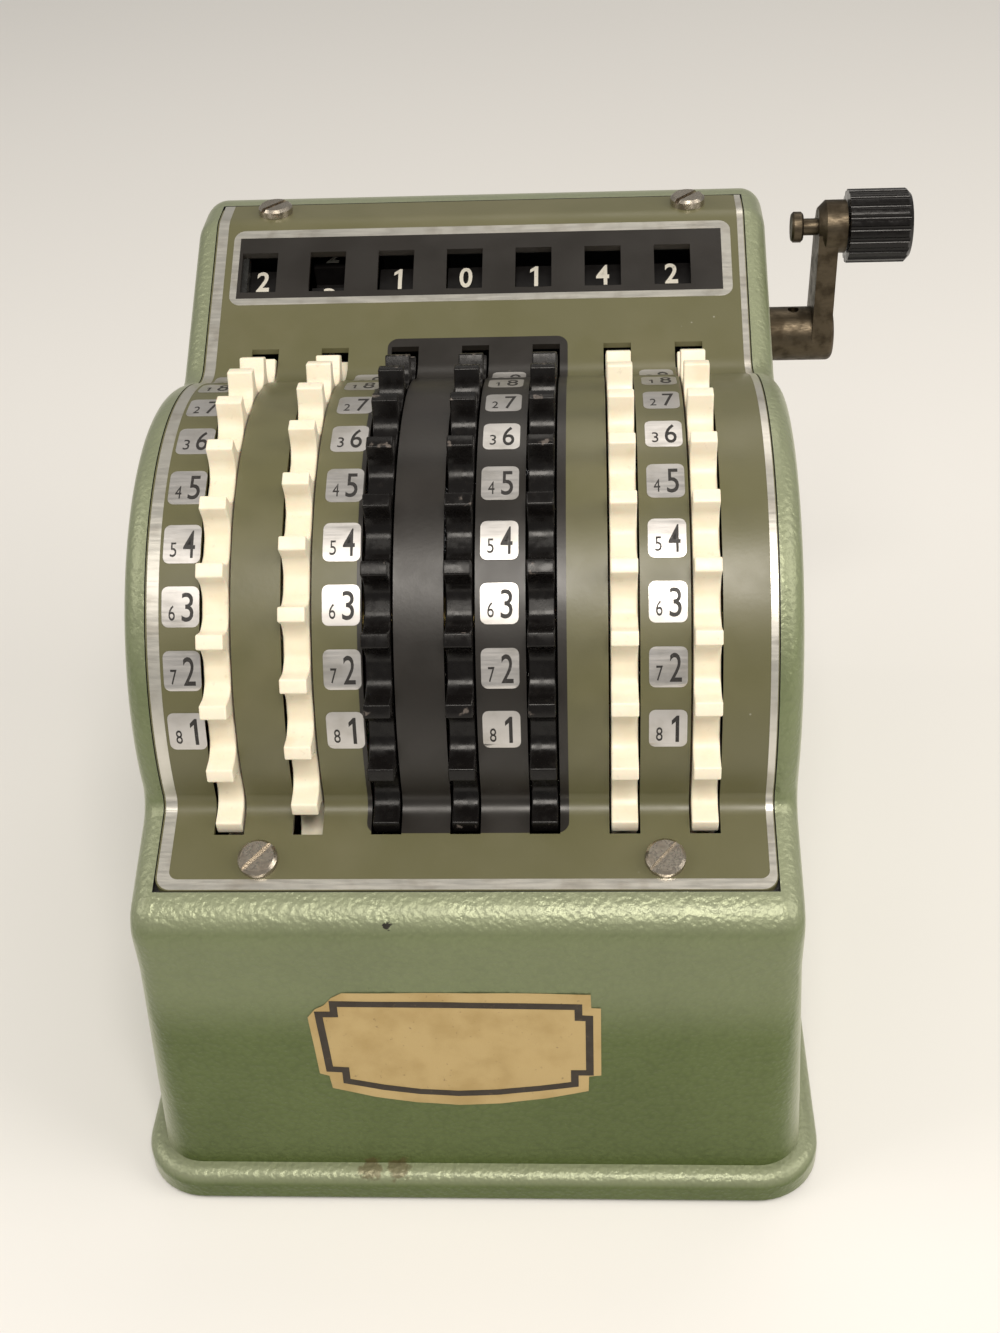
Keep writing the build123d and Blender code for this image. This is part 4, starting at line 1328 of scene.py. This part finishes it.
# ------------------------------------------------------------------ housing
@dataclass
class Housing:
    """The shell, its paper label, the base and the feet."""

    wall_top: tuple[float, float] = (-66.3, -24.0)
    wall_bottom: tuple[float, float] = (-70.0, -69.0)
    label_top: float = -27.0
    label_middle: float = -2.6
    paper_thickness: float = 0.12
    line_width: float = 1.3
    line_lift: float = 0.03
    line_thickness: float = 0.04
    swell_height: float = 0.05
    swell_across: float = 0.35
    swell_down: float = 0.5
    cut_reach: int = 24
    cut_step: int = 2
    paper: Pairs = (
        (-24.6, -5.4), (-23.8, -18.8), (-22.2, -19.4), (-21.9, -22.5), (-14.6, -24.6),
        (-7.4, -26.0), (0.0, -26.6), (7.6, -26.1), (15.2, -24.9), (22.6, -22.9), (22.7, -19.4),
        (24.8, -19.1), (24.8, -3.2), (23.2, -3.1), (23.1, 0.0), (8.0, 0.3), (-18.4, 0.2),
        (-20.2, -0.9), (-21.6, -2.6), (-23.2, -3.5),
    )
    line: Pairs = (
        (-23.4, -4.0), (-22.6, -18.4), (-19.9, -18.6), (-19.9, -21.3), (-13.2, -22.9),
        (-6.6, -24.0), (0.0, -24.4), (7.0, -24.0), (14.0, -23.1), (20.9, -21.9), (20.9, -19.2),
        (23.5, -19.2), (23.5, -4.9), (21.7, -4.8), (21.7, -2.2), (0.0, -1.8), (-20.7, -1.6),
        (-20.7, -4.0),
    )

    def on_wall(self, x: float, s: float, lift: float) -> Vector:
        """A place on the front wall.

        Args:
            x: Across, from the label's middle.
            s: Down the wall from the label's top edge, negative downwards.
            lift: Off the wall.

        Returns:
            The place in the frame.
        """
        top, bottom = Vector(self.wall_top), Vector(self.wall_bottom)
        down = (bottom - top).normalized()
        start = top + down * ((self.label_top - top.y) / down.y)
        out = Vector((down.y, -down.x))
        wave = math.sin(x * self.swell_across) * math.cos(s * self.swell_down)
        spot = start - down * s + out * (lift + self.swell_height * wave)
        return MACHINE.place(x + self.label_middle, spot.x, spot.y)

    def stick(
        self, mesh: BMesh, name: str, finish: Finish, lift: float, thickness: float
    ) -> None:
        """Lay a flat mesh on the front wall, cut often enough to follow it.

        Args:
            mesh: The flat mesh.
            name: The piece's name.
            finish: Its finish.
            lift: Off the wall.
            thickness: Its thickness, towards the wall.
        """
        heights = [v.co.y for v in mesh.verts]
        for x in range(-self.cut_reach, self.cut_reach + 1, self.cut_step):
            cut(mesh, 0, x)
        wrap(mesh, self.on_wall, self.cut_step, min(heights), max(heights), lift)
        thicken(mesh, thickness)
        finished(mesh, name, finish, "housing", "housing_paint")

    def label(self) -> None:
        """The bare paper label and its line."""
        thickness = self.paper_thickness
        self.stick(flat_face(self.paper), "paper_label", Finish.PAPER, thickness, thickness)
        ring = flat_face(self.line)
        bmesh.ops.recalc_face_normals(ring, faces=ring.faces[:])
        inner = bmesh.ops.inset_region(
            ring, faces=ring.faces[:], thickness=self.line_width, use_even_offset=True,
            use_boundary=True,
        )
        keep = set(inner["faces"])
        bmesh.ops.delete(ring, geom=[f for f in ring.faces if f not in keep], context="FACES")
        lift = thickness + self.line_lift
        self.stick(ring, "label_line", Finish.LABEL_LINE, lift, self.line_thickness)

    def build(self) -> None:
        """Dress the shell and the base and add the label."""
        dress_node("housing_shell", Finish.HAMMER)
        dress_node("base_plate", Finish.SHEET)
        dress_node("rubber_feet", Finish.RUBBER)
        self.label()


# ------------------------------------------------------------------ the rest of the frame's nodes
@dataclass
class Works:
    """The fasteners, the crank and everything inside the shell."""

    nodes: tuple[tuple[Finish, str], ...] = (
        (Finish.NICKEL, "plate_screws base_screws"),
        (Finish.FRAME, "frame_plate_left frame_plate_right frame_rivets detent_bar"),
        (Finish.ROD, "tie_rods wheel_axle carry_shaft crank_shaft"),
        (Finish.BRASS, "wheel_spacers crank_bush drum_collars"),
        (Finish.SPRING, "detent_comb"),
        (Finish.CRANK, "crank_arm crank_set_pin knob_pin"),
        (Finish.KNOB, "crank_knob"),
    )

    def build(self) -> None:
        """Dress the nodes."""
        for finish, names in self.nodes:
            for name in names.split():
                dress_node(name, finish)
        for name in sorted(frame["nodes"]):
            if name.startswith("carry_lever"):
                dress_node(name, Finish.SPRING)


# ------------------------------------------------------------------ studio
def direction(azimuth: float, elevation: float) -> Vector:
    """The unit vector at an azimuth, from the back to the right, and an elevation in degrees."""
    turn, rise = math.radians(azimuth), math.radians(elevation)
    flat = math.cos(rise)
    return Vector((math.sin(turn) * flat, math.cos(turn) * flat, math.sin(rise)))


@dataclass(frozen=True)
class Lamp:
    """An area lamp aimed at the machine."""

    name: str
    azimuth: float
    elevation: float
    distance: float
    width: float
    height: float
    power: float
    colour: Colour = (1.0, 0.94, 0.86)

    def build(self, target: Vector) -> None:
        """Hang the lamp.

        Args:
            target: What it points at.
        """
        away = direction(180.0 - self.azimuth, self.elevation)
        light = bpy.data.lights.new(self.name, "AREA")
        light.shape = "RECTANGLE"
        light.size, light.size_y = self.width, self.height
        light.energy = self.power
        light.color = self.colour
        holder = bpy.data.objects.new(self.name, light)
        holder.location = target + away * self.distance
        holder.rotation_euler = away.to_track_quat("Z", "Y").to_euler()
        bpy.context.scene.collection.objects.link(holder)


@dataclass
class Studio:
    """Camera, floor, lamps and sky."""

    lens: float = 45.48
    sensor: float = 36.0
    eye: Triple = (21.166, -251.194, 188.952)
    azimuth: float = -3.98
    elevation: float = -38.38
    roll: float = -2.97
    floor_size: float = 6.0
    sky: Colour = (0.95, 0.93, 0.89)
    sky_strength: float = 0.32
    lamps: tuple[Lamp, ...] = (
        Lamp("key", 8.0, 56.0, 1.0, 0.42, 0.34, 6.6),
        Lamp("left", -80.0, 35.0, 1.1, 0.6, 0.7, 3.2),
        Lamp("right", 75.0, 32.0, 1.0, 0.6, 0.7, 4.6),
        Lamp("rear", 160.0, 55.0, 1.3, 0.8, 0.5, 2.4),
    )

    def camera(self) -> None:
        """Put the camera where the photograph was taken from."""
        data = bpy.data.cameras.new("camera")
        data.sensor_fit = "VERTICAL"
        data.sensor_height = self.sensor
        data.lens = self.lens
        data.clip_start = 0.01
        holder = bpy.data.objects.new("camera", data)
        look = direction(self.azimuth, self.elevation)
        aim = look.to_track_quat("-Z", "Y").to_matrix().to_4x4()
        aim = aim @ Matrix.Rotation(math.radians(self.roll), 4, "Z")
        holder.matrix_world = Matrix.Translation(MACHINE.place(*self.eye)) @ aim
        bpy.context.scene.collection.objects.link(holder)
        bpy.context.scene.camera = holder

    def floor(self) -> None:
        """The pale floor."""
        mesh = bmesh.new()
        bmesh.ops.create_grid(mesh, x_segments=1, y_segments=1, size=self.floor_size / 2)
        data = bpy.data.meshes.new("floor")
        mesh.to_mesh(data)
        mesh.free()
        data.materials.append(Finish.FLOOR.material())
        floor = bpy.data.objects.new("floor", data)
        bpy.context.scene.collection.objects.link(floor)

    def world(self) -> None:
        """The even light from all round."""
        world = bpy.data.worlds.new("sky")
        bpy.context.scene.world = world
        world.use_nodes = True
        shade = world.node_tree.nodes["Background"]
        shade.inputs["Color"].default_value = (*self.sky, 1.0)
        shade.inputs["Strength"].default_value = self.sky_strength

    def build(self) -> None:
        """Set up the studio."""
        self.camera()
        self.floor()
        self.world()
        middle = (CAD_BOX[0] + CAD_BOX[1]) / 2
        for lamp in self.lamps:
            lamp.build(Vector(middle))
        bpy.context.scene.view_settings.view_transform = "Standard"


def main() -> None:
    """Build the dressed machine and its studio."""
    logging.basicConfig(level=logging.INFO, format="%(name)s: %(message)s")
    for part in (Housing(), FacePlate(), FingerWheels(), NumberDrums(), Works(), Studio()):
        part.build()
        LOG.info("%s done", type(part).__name__)


if __name__ == "__main__":
    main()
